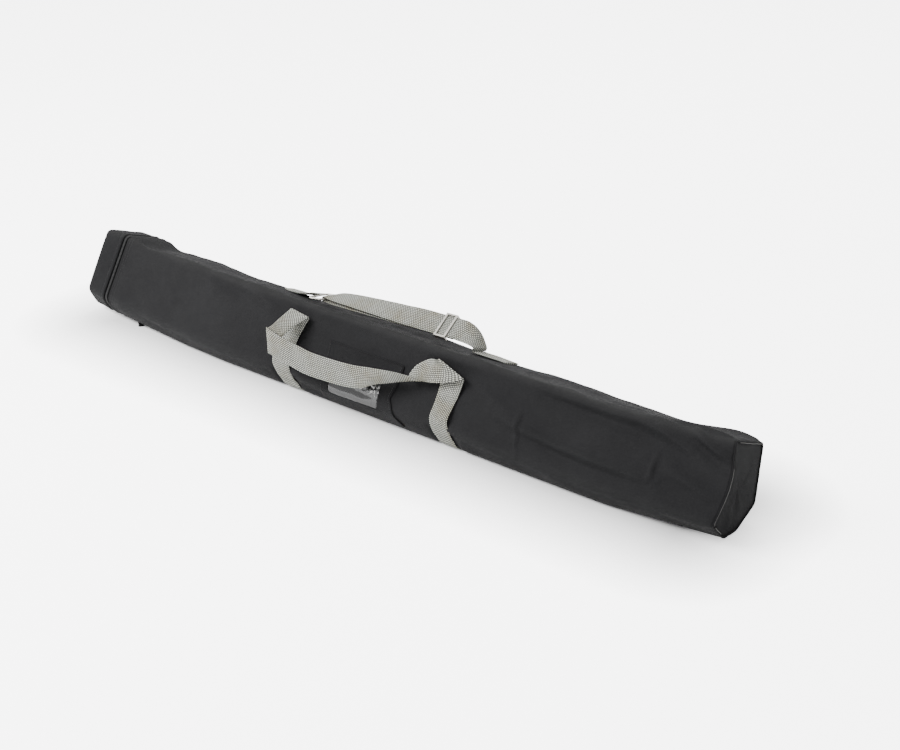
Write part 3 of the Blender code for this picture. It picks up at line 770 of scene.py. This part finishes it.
def lip_relief(gap):
    """The rolled lip beside the zip and its first row of stitches, by distance from the zip."""
    lip = 0.0008 * bell(gap, 0.0080, 0.0022) - 0.0014 * bell(gap, LIP, 0.0014)
    return lip - 0.0004 * bell(gap, STITCH_ROWS[0], 0.0012)


# Soft bumps: x, s, height, width along x, width along s
BUMPS = [(0.528, 0.178, 0.0075, 0.030, 0.020), (0.040, 0.172, 0.0030, 0.060, 0.022),
         (0.310, 0.178, 0.0046, 0.078, 0.022)]
# How much each corner is lightened: rubbed wear and a painted sheen highlight.
CORNER_WEAR_AND_SHEEN = {A: 0.55, B: 0.6, E: 0.25}


def body_relief(x, s, skin):
    """How far the case's cloth stands off its plain outline: sag, noise, bumps, creases, pucker and lip."""
    calm = smooth((x - ZIP_X - 0.006) / 0.030) * smooth((HALF - x) / 0.012)
    lift = 0.0020 * noise2(x / 0.095 + 3.1, s / 0.045 + 0.7, 1)
    lift += 0.0013 * noise2(x / 0.045 + 0.9 * s / 0.05, s / 0.022, 2)
    lift += 0.0004 * noise2(x / 0.018 - 0.5 * s / 0.02, s / 0.010, 5)
    dip = 0.0062 * bell(x, -0.462, 0.028) + 0.0035 * bell(x, -0.415, 0.035)
    lift -= dip * smooth((s - 0.080) / 0.035) * smooth((0.215 - s) / 0.03)
    for bump_x, bump_s, height, width_x, width_s in BUMPS:
        lift += height * bell(x, bump_x, width_x) * bell(s, bump_s, width_s)
    top = smooth((s - 0.112) / 0.01) * smooth((0.185 - s) / 0.01)
    lift += top * 0.0012 * noise2(x / 0.050, s / 0.030, 7)
    lift = lift * calm
    for path, height, width in BODY_CREASES:
        gain = RIDGE_GAIN if height > 0 else VALLEY_GAIN
        lift += crease(x, s, path, height * gain, width * CREASE_SPREAD)
    lift = lift * smooth((skin.points[:, :, 2] - 0.004) / 0.018)
    near = np.clip((HALF - x) / 0.020, 0, 1)
    pucker = (1 - near) ** 2 * 0.0007 * np.sin(s * 2 * math.pi / 0.017 + 3 * noise2(s / 0.03, s * 0, 4))
    lift += pucker * smooth((HALF - x) / 0.006)
    gap = x - ZIP_X
    lift += lip_relief(gap) - 0.0004 * bell(gap, STITCH_ROWS[1], 0.0012)
    lift -= web_room(x, s, skin)
    return lift - SKIN_DROP


def cap_relief(x, s, skin):
    """How far the cap's cloth stands off its plain outline."""
    gap = ZIP_X - x
    lift = 0.0006 * noise2(x / 0.030 + 5.0, s / 0.040, 11) + 0.0004 * noise2(x / 0.014, s / 0.018, 12)
    lift += lip_relief(gap)
    edge = np.clip((x + HALF) / 0.007, 0, 1)
    lift -= 0.0040 * (1 - np.sqrt(1 - (1 - edge) ** 2))
    return lift - SKIN_DROP


def wear_and_sheen_of(skin):
    """Where the cloth is rubbed and lit by a painted sheen highlight: along its corners."""
    worn_and_sheen = np.zeros(skin.points.shape[:2])
    marks = skin.s[:, :-1]
    for c in ORDER:
        centre = skin.s[:, corner_column(c)][:, None]
        worn_and_sheen += CORNER_WEAR_AND_SHEEN.get(c, 0.1) * bell(marks, centre, 0.006)
    return np.clip(worn_and_sheen, 0, 1)


def skin_shell(name, skin, thick, material):
    """The cloth of a whole skin, with thickness."""
    uv = np.zeros(skin.s.shape + (2,))
    uv[:, :, 0] = skin.x[:, None]
    uv[:, :, 1] = skin.s
    inner = skin.points - skin.normals * thick
    return shell_object(name, skin.points, inner, material, uv, wrap=True, wear_and_sheen=wear_and_sheen_of(skin))


def end_cover(name, ring, outward, bulge, material, seed):
    """A cloth end panel that fills a ring of points, with soft wrinkles running in from its corners."""
    middle = ring.mean(axis=0)
    rings = 16
    rows = []
    for n in range(rings + 1):
        t = n / rings
        row = ring * (1 - t) + middle * t
        spread = 4 * t * (1 - t)
        angle = np.arctan2(row[:, 2] - middle[2], row[:, 1] - middle[1] + 1e-9)
        wrinkle = 0.0006 * noise2(angle * 2.2 + 1.0, t * 3 + 0 * angle, seed)
        wrinkle += 0.0005 * noise2(row[:, 1] / 0.014, row[:, 2] / 0.030, seed + 1)
        row = row + np.outer(bulge * spread + wrinkle * spread, np.array([outward, 0, 0]))
        rows.append(row)
    outer = np.array(rows[:-1])
    cols = outer.shape[1]
    uv = np.zeros((rings, cols + 1, 2))
    closed = np.concatenate([outer, outer[:, :1]], axis=1)
    uv[:, :, 0] = closed[:, :, 1]
    uv[:, :, 1] = closed[:, :, 2]
    depth = np.array([outward * COVER_THICK, 0, 0])
    tip_point = rows[-1].mean(axis=0)
    inner = outer - depth
    verts = np.concatenate([outer.reshape(-1, 3), inner.reshape(-1, 3), [tip_point, tip_point - depth]])
    shift = rings * cols
    faces, uvs = shell_sides(rings, cols, True, uv)
    r = rings - 1
    tip = 2 * shift
    for c in range(cols):
        d = (c + 1) % cols
        centre_uv = (verts[tip][1], verts[tip][2])
        faces.append((r * cols + c, r * cols + d, tip))
        uvs.extend([uv[r, c], uv[r, c + 1], centre_uv])
        faces.append((shift + r * cols + d, shift + r * cols + c, tip + 1))
        uvs.extend([uv[r, c + 1], uv[r, c], centre_uv])
        faces.append((c, d, shift + d, shift + c))
        uvs.extend([uv[0, c], uv[0, c + 1], uv[0, c + 1], uv[0, c]])
    item = make_object(name, verts, faces, material, uvs, wear_and_sheen=np.zeros(len(verts)))
    recalculate(item)
    return item


def inward_ring(ring, amount):
    """A ring of points drawn in toward its middle."""
    middle = ring.mean(axis=0)
    away = ring - middle
    size = np.linalg.norm(away, axis=1)[:, None]
    return ring - away / size * amount


body = Skin(ZIP_X + LIP, HALF - SEAM_SETBACK, 0.0034, body_relief, web_room)
case_skin = skin_shell("case_skin", body, SKIN_THICK, CLOTH)
place_piece(case_skin, "case", "case_cloth", "front_panel", "top_panel", "back_panel", "bottom_panel")

cap = Skin(-HALF + 0.0002, ZIP_X - LIP, 0.0016, cap_relief)
cap_skin = skin_shell("cap_skin", cap, SKIN_THICK, CLOTH)
place_piece(cap_skin, "end_cap", "case_cloth", "cap_band")


def lining_relief(x, s, skin):
    """The lining lies deeper away from the mouth and the ends."""
    deeper = smooth((np.abs(x - ZIP_X) - 0.016) / 0.02) * smooth((HALF - 0.02 - np.abs(x)) / 0.02)
    return 0.0005 * noise2(x / 0.03, s / 0.03, 21) - LINING_DEPTH - 0.0035 * deeper


lining = Skin(ZIP_X + 0.0100, HALF - 0.0075, 0.012, lining_relief)
lining_sleeve = skin_shell("lining_sleeve", lining, LINING_THICK, LINING)
place_piece(lining_sleeve, "case", "lining", "front_liner", "top_liner", "back_liner", "bottom_liner")
cap_lining = Skin(-HALF + 0.0065, ZIP_X - 0.0100, 0.006, lining_relief)
cap_sleeve = skin_shell("cap_lining_sleeve", cap_lining, LINING_THICK, LINING)
place_piece(cap_sleeve, "end_cap", "lining", "cap_liner")


end_ring = inward_ring(body.points[-1], 0.0024)
end_ring[:, 0] = HALF - 0.0032
end_panel = end_cover("end_panel_cloth", end_ring, 1, 0.0012, CLOTH, 31)
place_piece(end_panel, "case", "case_cloth", "end_panel")
piping_path = inward_ring(body.points[-1], 0.0005)
end_piping = tube("end_seam_binding", piping_path, 0.0011, CLOTH, sides=8, closed=True)
place_piece(end_piping, "case", "seam_binding", "end_piping")


def pale_seam_line(name, s_low, s_high):
    """A pale line that shows along part of the far end's seam."""
    row = body.points[-1]
    marks = body.s[-1][:-1]
    count = 60
    path = []
    for n in range(count):
        s = s_low + (s_high - s_low) * n / (count - 1)
        path.append([np.interp(s, marks, row[:, k]) for k in range(3)])
    path = np.array(path)
    middle = row.mean(axis=0)
    away = path - middle
    away[:, 0] = 0
    path = path - away / np.linalg.norm(away, axis=1)[:, None] * 0.0022
    path[:, 0] += 0.0007
    item = tube(name, path, 0.00045, PALE_SEAM_LINE, sides=6)
    place_piece(item, "case", "seam_binding")


pale_seam_line("seam_thread_front", -0.002, 0.072)
pale_seam_line("seam_thread_top", 0.112, 0.172)
pale_seam_line("seam_thread_low", -0.030, -0.008)

cap_ring = inward_ring(cap.points[0], 0.0006)
cap_ring[:, 0] = -HALF + 0.0012
cap_end = end_cover("cap_end_cloth", cap_ring, -1, 0.0006, CLOTH, 41)
place_piece(cap_end, "end_cap", "case_cloth", "cap_end_panel")
cap_edge = inward_ring(cap.points[0], 0.0001)
cap_edge[:, 0] = -HALF + 0.0013
cap_piping = tube("cap_seam_binding", cap_edge, 0.0012, CLOTH, sides=8, closed=True)
place_piece(cap_piping, "end_cap", "seam_binding", "cap_piping")

# ---- webbing
# Front handle: edge pairs (x, up the face, out from the face), in millimetres
FRONT_LOOP = [
    ((-148, 2, 1.6), (-115, 3, 1.6)), ((-147, 14, 1.6), (-115, 14, 1.6)),
    ((-143, 44, 2.2), (-111, 44, 2.2)), ((-137, 66, 3.0), (-105, 64, 3.0)),
    ((-131, 87, 4.0), (-97, 83, 4.0)), ((-130, 90, 7.5), (-96, 86, 7.5)),
    ((-130, 87, 11), (-98, 82, 11)), ((-132, 76, 22), (-106, 69, 22)),
    ((-134, 64, 33), (-117, 46, 33)), ((-136, 60, 37.5), (-123, 27, 37)),
    ((-134, 60, 41), (-121, 27, 40.5)), ((-105, 54, 41), (-108, 25, 41)),
    ((-75, 50, 38), (-81, 20, 38)), ((-46, 47, 35), (-50, 16, 35)),
    ((7, 48, 28), (5, 17, 28)), ((45, 53, 25), (34, 22, 27)),
    ((78, 57, 22), (56, 33, 27)), ((98, 58, 19), (74, 40, 23)),
    ((110, 57.5, 17.5), (84, 44.5, 19)), ((117, 57, 16.5), (90, 47.5, 15)),
    ((121, 56.5, 16), (93, 52, 9)), ((123, 56.7, 15.5), (92, 60, 4)),
    ((126, 57, 15), (98, 71, 4)), ((131, 57.5, 14.5), (109, 80, 6)),
    ((142, 60, 14), (121, 86.5, 10)), ((159, 65, 13.5), (130, 89, 13)),
    ((179, 74, 11.5), (134, 89, 11.5)), ((180, 75, 8), (135, 90, 8)),
    ((178, 69, 5), (139, 84, 5)), ((175, 54, 3.0), (142, 58, 3.0)),
    ((170, 36, 2.2), (140, 35, 2.2)), ((166, 15, 1.6), (137, 12, 1.6)),
    ((166, 3, 1.6), (136, 2, 1.6)),
]


def face_frame(x, low, high):
    """A corner of the outline at x, and the directions along the face to the next corner and out of it."""
    loop = corners_at(x)
    along = loop[high] - loop[low]
    along /= np.linalg.norm(along)
    away = np.array([-along[1], along[0]])
    return loop[low], along, away


def front_point(x, up, out):
    low, along, away = face_frame(x, E, A)
    place = low + along * up + away * out
    return np.array([x, place[0], place[1]])


def top_point(x, y, out):
    low, along, away = face_frame(x, A, B)
    place = low + along * ((y - low[0]) / along[0]) + away * out
    return np.array([x, place[0], place[1]])


def under_rulings(left, right, marks, out=0.0011):
    """Rulings that follow the skin under the case, at given distances from its front corner."""
    return [(body.at(left + a, s, out), body.at(right + b, s, out)) for s, a, b in marks]


handle = [tuple(front_point(x / 1000, up / 1000, out / 1000) for x, up, out in pair) for pair in FRONT_LOOP]
first = under_rulings(-0.148, -0.115, [(-0.034, 0.015, 0.014), (-0.026, 0.013, 0.012),
                                       (-0.018, 0.010, 0.009), (-0.009, 0.005, 0.004)])
last = under_rulings(0.166, 0.136, [(-0.009, 0.003, 0.003), (-0.018, 0.006, 0.007),
                                    (-0.026, 0.008, 0.009), (-0.034, 0.010, 0.010)])
front_handle = ribbon("front_handle_web", first + handle[1:-1] + last, WEBBING, seed=3)
tuple(front_point(0.0, 0.002, 0.0))
tuple(front_point(0.0, 0.022, 0.0))
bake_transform(front_handle)
take_over(front_handle, "webbing", "front_handle")


def knee_s(x):
    """The distance from the front corner to the back knee, going under the case."""
    row = int(np.argmin(np.abs(body.x - x)))
    return body.s[row, corner_column(C)] - (body.s[row, -1] - body.s[row, 0])


for side, centre in (("left", LEG_LEFT_X), ("right", LEG_RIGHT_X)):
    drift = WEB_DRIFT if side == "left" else WEB_DRIFT - 0.001
    stop = knee_s(centre)
    marks = []
    for n in range(19):
        t = n / 18
        s = -0.034 + (stop + 0.034) * t
        marks.append((s, drift * (1 - smooth(t * 2)), drift * (1 - smooth(t * 2))))
    strip = ribbon(side + "_web_under", under_rulings(centre - WEB / 2, centre + WEB / 2, marks), WEBBING,
                   steps=3, seed=5)
    place_piece(strip, "case", "webbing", "web_under_" + side)

# Back handle, where it turns up on its edge: x of each edge, y of each edge and rise, in millimetres
BACK_LOOP = ((-14, -4, 13, 4, 14), (-8, 0, 24, 18, 26), (4, 10, 36, 30, 32), (30, 34, 46, 44, 32))

knee = corners_at(0.0)[C]
low = WEB_THICK / 2 + 0.0007
rulings = []
for dy, dz in ((0.0016, 0.0030), (0.0036, 0.0008), (0.0100, -0.0120), (0.0220, 0.0040 + low - knee[1]),
               (0.0340, low - knee[1])):
    place = knee + np.array([dy, dz])
    rulings.append((np.array([LEG_LEFT_X - WEB / 2, place[0], place[1]]),
                    np.array([LEG_LEFT_X + WEB / 2, place[0], place[1]])))
reach = knee[0] + 0.034
for low_x, high_x, low_y, high_y, rise in BACK_LOOP:
    rulings.append((np.array([LEG_LEFT_X + low_x / 1000, reach + low_y / 1000, low]),
                    np.array([LEG_LEFT_X + high_x / 1000, reach + high_y / 1000, low + rise / 1000])))
middle = (LEG_LEFT_X + LEG_RIGHT_X) / 2
rulings.append((np.array([middle, reach + 0.050, low]), np.array([middle, reach + 0.048, low + WEB])))
for edge_a, edge_b in rulings[-2::-1]:
    rulings.append(tuple(np.array([2 * middle - p[0], p[1], p[2]]) for p in (edge_a, edge_b)))
back_handle = ribbon("back_handle_web", rulings, WEBBING, seed=4)
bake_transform(back_handle)
take_over(back_handle, "webbing", "back_handle")

# Shoulder strap: x, height of its centre over the top face, tilt in degrees (back edge up)
STRAP_LINE = [
    (-0.1120, 0.0130, -11), (-0.0960, 0.0150, 2), (-0.0500, 0.0180, 14), (0.0200, 0.0210, 29),
    (0.0500, 0.0226, 35), (0.0825, 0.0238, 35), (0.1150, 0.0250, 35), (0.1250, 0.0248, 34),
    (0.1350, 0.0225, 22), (0.1440, 0.0175, 4),
]
BAR_WRAP = 0.0031


def strap_frame(x, height, tilt, drop=0.0):
    """The strap's middle at x and half its width, dropped square to its face."""
    centre = top_point(x, STRAP_Y, 0.0) + np.array([0.0, 0.0, height])
    tilt = math.radians(tilt)
    centre = centre - np.array([0.0, -math.sin(tilt), math.cos(tilt)]) * drop
    across = np.array([0.0, math.cos(tilt), math.sin(tilt)]) * (WEB / 2)
    return centre, across


def strap_rulings(line, share=1.0):
    rulings = []
    for place in line:
        centre, across = strap_frame(*place)
        rulings.append((centre - across * share, centre + across * share))
    return rulings


bar_x, bar_top, bar_tilt = STRAP_LINE[0]
wrap = []
for turn in (-90, -135, -180, -225):
    angle = math.radians(turn)
    height = bar_top - BAR_WRAP + BAR_WRAP * math.sin(angle)
    wrap.append((bar_x + BAR_WRAP * math.cos(angle), height, bar_tilt))
tail = [(0.1515, 0.0095, -17), (0.1510, 0.0050, -17), (0.1500, 0.0034, -19)]
upper = ribbon("shoulder_strap_web", strap_rulings(wrap + STRAP_LINE + tail), WEBBING, seed=7)
place_piece(upper, "case", "webbing", "shoulder_strap")
layer = WEB_THICK + 0.0006
drops = [2 * BAR_WRAP, 2 * BAR_WRAP - 0.0002, 0.0055, 0.0040, layer, layer, layer]
lower_line = [(bar_x + 0.0006, bar_top, bar_tilt)] + STRAP_LINE[1:7]
lower_line = [place + (drop,) for place, drop in zip(lower_line, drops)]
lower = ribbon("strap_return_web", strap_rulings(lower_line, 0.97), WEBBING, seed=8)
place_piece(lower, "case", "webbing", "strap_return")


def anchor(name, marks, node):
    """A webbing tab on the top face from (x, front y, back y, lift) marks, sewn with a boxed cross."""
    rulings = [(top_point(x, y0, lift), top_point(x, y1, lift)) for x, y0, y1, lift in marks]
    item = ribbon(name, rulings, WEBBING, steps=5, thick=0.0022, seed=9)
    place_piece(item, "case", "webbing", node)
    inward = math.copysign(1.0, marks[-1][0] - marks[0][0])
    x0, x1 = marks[0][0] + inward * 0.004, marks[0][0] + inward * 0.024
    y0, y1 = marks[0][1] + 0.004, marks[0][2] - 0.004
    lines = [((x0, y0), (x1, y0)), ((x1, y0), (x1, y1)), ((x1, y1), (x0, y1)), ((x0, y1), (x0, y0)),
             ((x0, y0), (x1, y1)), ((x0, y1), (x1, y0))]
    lift = marks[0][3] + 0.0013
    dashes = []
    for p, q in lines:
        count = int(math.dist(p, q) / 0.0036)
        for n in range(count):
            start = top_point(*between(p, q, n / count), lift)
            end = top_point(*between(p, q, (n + 0.7) / count), lift)
            dashes.append((start, end, (0.0, 0.2, 1.0)))
    place_piece(stitches(name + "_stitching", dashes, THREAD_GREY), "case", "webbing")


anchor("left_anchor_web", [(-0.196, 0.042, 0.064, 0.0016), (-0.186, 0.036, 0.066, 0.0018),
                           (-0.172, 0.034, 0.066, 0.0022), (-0.158, 0.034, 0.066, 0.0034),
                           (-0.147, 0.034, 0.066, 0.0058), (-0.1405, 0.034, 0.066, 0.0082),
                           (-0.1385, 0.034, 0.066, 0.0084)], "strap_anchor_left")
anchor("right_anchor_web", [(0.206, 0.034, 0.0615, 0.0014), (0.192, 0.034, 0.0635, 0.0016),
                            (0.176, 0.034, 0.066, 0.0016), (0.162, 0.034, 0.066, 0.0016),
                            (0.150, 0.034, 0.066, 0.0020)], "strap_anchor_right")


# ---- metal
def rounded_copy(node, name, body_name, width, material, slot_name):
    """A copy of a hard CAD node with rounded edges."""
    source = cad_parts[node]
    item = bpy.data.objects.new(name, source.data.copy())
    item.matrix_world = source.matrix_world.copy()
    bpy.context.collection.objects.link(item)
    item.data.materials.clear()
    item.data.materials.append(material)
    bevel = item.modifiers.new("edges", "BEVEL")
    bevel.width = width
    bevel.segments = 3
    bevel.limit_method = "ANGLE"
    bevel.angle_limit = math.radians(35)
    mesh = bpy.data.meshes.new_from_object(item.evaluated_get(bpy.context.evaluated_depsgraph_get()))
    item.modifiers.clear()
    item.data = mesh
    for polygon in mesh.polygons:
        polygon.use_smooth = True
    place_piece(item, body_name, slot_name, node)


for values in (("zip_stop", "zip_stop_metal", "case", 0.0003, DARK_METAL, "zip_metal"),
               ("zip_slider", "zip_slider_metal", "zip_slider", 0.0004, DARK_METAL, "zip_metal"),
               ("zip_pull", "zip_pull_cord", "zip_pull", 0.0005, TAPE, "pull_cord"),
               ("strap_adjuster", "strap_adjuster_metal", "strap_adjuster", 0.0006, METAL, "bright_metal")):
    rounded_copy(*values)
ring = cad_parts["strap_ring"]
ring.data.materials.clear()
ring.data.materials.append(METAL)

# ---- zip, hinge and inner ends
zip_ring = Skin(ZIP_X - 0.012, ZIP_X + 0.012, 0.0012, lambda x, s, skin: x * 0 - 0.0028)


def zip_band(name, x0, x1, out, thick, material, s0, s1):
    """A strip round the mouth between two distances from the front corner."""
    return laid_on(zip_ring, name, out, thick, lambda s: (x0, x1), material, np.linspace(s0, s1, 150), 4)


row = len(zip_ring.x) // 2
s_b = zip_ring.s[row, corner_column(B)]
s_c = zip_ring.s[row, corner_column(C)]
s_total = zip_ring.s[row, -1] - zip_ring.s[row, 0]
zip_start, zip_stop = s_c - s_total + 0.006, s_b - 0.003
for end, body_name, sense in (("body", "case", 1), ("cap", "end_cap", -1)):
    near, far = ZIP_X + sense * 0.0008, ZIP_X + sense * 0.0110
    tape = zip_band("zip_tape_cloth_" + end, near, far, 0.0, 0.0006, TAPE, zip_start, zip_stop)
    place_piece(tape, body_name, "zip_tape", "zip_tape_" + end)
    teeth = []
    count = int((zip_stop - zip_start) / COIL_PITCH)
    for n in range(count):
        s = zip_start + (zip_stop - zip_start) * (n + (0.5 if sense > 0 else 0.0)) / count
        a = zip_ring.at(ZIP_X - sense * 0.0006, s, 0.0013)
        b = zip_ring.at(ZIP_X + sense * 0.0026, s, 0.0013)
        teeth.append((a, b, zip_ring.at(ZIP_X, s, 0.005) - a))
    coil = stitches("zip_coil_teeth_" + end, teeth, COIL, radius=0.0009)
    place_piece(coil, body_name, "zip_coil", "zip_coil_" + end)

HINGE_REACH = 0.0100
hinge = zip_band("hinge_cloth", ZIP_X - HINGE_REACH, ZIP_X + HINGE_REACH, 0.0004, 0.0008, CLOTH,
                 s_b + 0.003, s_c - 0.002)
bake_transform(hinge)
take_over(hinge, "case_cloth", "hinge_strip")

for name, ring, x, side, seed, body_name, node in (
        ("end_lining", lining.points[-1], HALF - 0.0068, -1, 51, "case", "end_liner"),
        ("cap_end_lining", cap_lining.points[0], -HALF + 0.0060, 1, 61, "end_cap", "cap_end_liner")):
    ring = ring.copy()
    ring[:, 0] = x
    place_piece(end_cover(name, ring, side, 0.0006, LINING, seed), body_name, "lining", node)

# ---- stitching on the cloth
S_RANGE = (zip_start + 0.004, zip_stop - 0.002)
rows = []
for gap in STITCH_ROWS:
    rows += stitch_line(body, [(ZIP_X + gap, S_RANGE[0]), (ZIP_X + gap, S_RANGE[1])])
place_piece(stitches("mouth_stitching", rows, THREAD_DARK), "case", "case_cloth")
rows = stitch_line(cap, [(ZIP_X - STITCH_ROWS[0], S_RANGE[0]), (ZIP_X - STITCH_ROWS[0], S_RANGE[1])])
place_piece(stitches("cap_stitching", rows, THREAD_DARK), "end_cap", "case_cloth")

# ---- label patch, film and card
PATCH_RIGHT = [(-0.022, 0.0900), (-0.014, 0.0860), (-0.004, 0.0775), (0.0175, 0.0670), (0.039, 0.0735),
               (0.064, 0.0760)]
PATCH_LEFT = -0.056
PATCH_OUT = 0.0012
# left, right, low and high edges of the window
WINDOW = (-0.041, 0.047, -0.0045, 0.041)
WINDOW_ROUND = 0.0055


def patch_left(up):
    return PATCH_LEFT


def patch_right(up):
    ups = [p[0] for p in PATCH_RIGHT]
    return float(np.interp(up, ups, [p[1] for p in PATCH_RIGHT]))


def window_left(up):
    """The window's left edge at a height, rounded toward its lower corner."""
    near = np.clip((WINDOW[2] + WINDOW_ROUND - up) / WINDOW_ROUND, 0, 1)
    return WINDOW[0] + WINDOW_ROUND * (1 - math.sqrt(1 - near ** 2))


def window_right(up):
    near = np.clip((WINDOW[2] + WINDOW_ROUND - up) / WINDOW_ROUND, 0, 1)
    return WINDOW[1] - 0.002 * near ** 2


PATCH_UPS = np.concatenate([np.linspace(-0.021, WINDOW[2], 14), np.linspace(WINDOW[2], WINDOW[3], 26)[1:],
                            np.linspace(WINDOW[3], 0.064, 12)[1:]])


def patch_object(name, out, thick, columns, material, ups, lift=None):
    """A sheet on the front of the case."""
    return laid_on(body, name, out, thick, columns, material, ups, 40, lift)


def crinkle(x, up):
    band = smooth((up - 0.010) / 0.010) * smooth((0.042 - up) / 0.010)
    fold = abs(noise2(x / 0.011 + up / 0.017, up / 0.007 - x / 0.03, 71))
    small = noise2(x / 0.0045, up / 0.004, 72)
    return float(band * (0.0016 * (1 - fold) ** 2 + 0.0005 * small))


below = [u for u in PATCH_UPS if u <= WINDOW[2] + 1e-9]
inside = [u for u in PATCH_UPS if WINDOW[2] - 1e-9 <= u <= WINDOW[3] + 1e-9]
above = [u for u in PATCH_UPS if u >= WINDOW[3] - 1e-9]
for part, left, right, ups in (("low", patch_left, patch_right, below),
                               ("left", patch_left, window_left, inside),
                               ("right", window_right, patch_right, inside),
                               ("top", patch_left, patch_right, above)):
    item = patch_object("label_patch_" + part, PATCH_OUT, 0.0010, lambda u: (left(u), right(u)), TRIM, ups)
    place_piece(item, "case", "label_trim", "label_pocket")
card = patch_object("label_card_sheet", 0.0004, 0.0003, lambda u: (-0.040, 0.046), CARD,
                    np.linspace(-0.004, 0.017, 8))
place_piece(card, "case", "card_stock", "label_card")
film = patch_object("label_film", 0.0009, 0.0002, lambda u: (window_left(u), window_right(u)), FILM,
                    np.linspace(WINDOW[2], WINDOW[3], 60), crinkle)
place_piece(film, "case", "clear_film", "label_window")
edge = [(patch_right(u) - 0.0030, u) for u in np.linspace(-0.020, 0.062, 30)]
seam_out = PATCH_OUT + 0.0002
rows = stitch_line(body, edge, length=0.0022, out=seam_out)
rows += stitch_line(body, [(PATCH_LEFT + 0.0028, -0.018), (PATCH_LEFT + 0.0028, 0.062)], out=seam_out)
rows += stitch_line(body, [(WINDOW[0] - 0.002, WINDOW[2] - 0.0022), (WINDOW[1], WINDOW[2] - 0.0022)],
                    out=seam_out)
place_piece(stitches("label_stitching", rows, THREAD_DARK), "case", "label_trim")
hem = [body.at(patch_right(u) + 0.0002, u, PATCH_OUT - 0.0001) for u in np.linspace(-0.020, 0.063, 60)]
place_piece(tube("label_hem", hem, 0.0008, BINDING, sides=8), "case", "label_trim")

# ---- studio
FLOOR_SIZE = 9.0
FLOOR_GLOW = 4.5
SKY_STRENGTH = 1.05
BACK_POWER = 42.0
FRONT_POWER = 165.0

# The floor glows only where the camera sees it directly, and less beside the case: the fading glow paints a
# soft shadow there
floor_mesh = bpy.data.meshes.new("studio_floor")
floor_corners = [(-FLOOR_SIZE, -FLOOR_SIZE, 0), (FLOOR_SIZE, -FLOOR_SIZE, 0),
                 (FLOOR_SIZE, FLOOR_SIZE, 0), (-FLOOR_SIZE, FLOOR_SIZE, 0)]
floor_mesh.from_pydata(floor_corners, [], [(0, 1, 2, 3)])
n = Nodes("floor_look")
split = n.add("ShaderNodeSeparateXYZ")
n.link(n.place(), split.inputs[0])
# Distance from the case's footprint, which sets how the painted shadow fades
beyond_x = n.math("MAXIMUM", n.math("SUBTRACT", n.math("ABSOLUTE", split.outputs[0]), 0.50), 0.0)
across = n.math("ABSOLUTE", n.math("SUBTRACT", split.outputs[1], 0.03))
beyond_y = n.math("MAXIMUM", n.math("SUBTRACT", across, 0.05), 0.0)
apart = n.math("SQRT", n.plus(n.math("POWER", beyond_x, 2.0), n.math("POWER", beyond_y, 2.0)))
far = n.math("MINIMUM", n.math("DIVIDE", apart, 0.16), 1.0)
glow_with_painted_shadow = n.times(n.math("POWER", far, 1.3), FLOOR_GLOW)
seen = n.add("ShaderNodeLightPath").outputs["Is Camera Ray"]
floor_tone = n.ramp(n.noise(1.3, 4.0, 0.5), [(0.3, (0.86, 0.86, 0.86)), (0.7, (0.89, 0.89, 0.895))])
n.set(Base_Color=floor_tone, Roughness=0.75, Specular_IOR_Level=0.2, Emission_Color=(1.0, 1.0, 1.0, 1.0),
      Emission_Strength=n.times(glow_with_painted_shadow, seen))
floor = finish_object("studio_floor", floor_mesh, n.material, False)

world = bpy.data.worlds.new("studio")
world.use_nodes = True
world.node_tree.nodes["Background"].inputs[0].default_value = (1.0, 1.0, 1.0, 1.0)
world.node_tree.nodes["Background"].inputs[1].default_value = SKY_STRENGTH
bpy.context.scene.world = world


def soft_light(name, place, size_x, size_y, power):
    """A soft rectangular light that faces the middle of the floor."""
    data = bpy.data.lights.new(name, "AREA")
    data.shape = "RECTANGLE"
    data.size = size_x
    data.size_y = size_y
    data.energy = power
    item = bpy.data.objects.new(name, data)
    item.location = place
    item.rotation_euler = (-Vector(place)).to_track_quat("-Z", "Y").to_euler()
    bpy.context.collection.objects.link(item)


soft_light("back_light", (-0.5, 1.9, 2.3), 1.8, 1.2, BACK_POWER)
soft_light("front_light", (-1.3, -1.7, 1.9), 1.6, 1.2, FRONT_POWER)

PITCH = math.radians(25.55)
forward = Vector((-0.6259 * math.cos(PITCH), 0.7799 * math.cos(PITCH), -math.sin(PITCH)))
camera_data = bpy.data.cameras.new("camera")
camera_data.sensor_width = 36.0
camera_data.lens = 64.0
camera_data.clip_end = 60.0
camera = bpy.data.objects.new("camera", camera_data)
camera.location = (1.3134, -1.4602, 0.9859)
camera.rotation_euler = forward.to_track_quat("-Z", "Y").to_euler()
bpy.context.collection.objects.link(camera)
bpy.context.scene.camera = camera
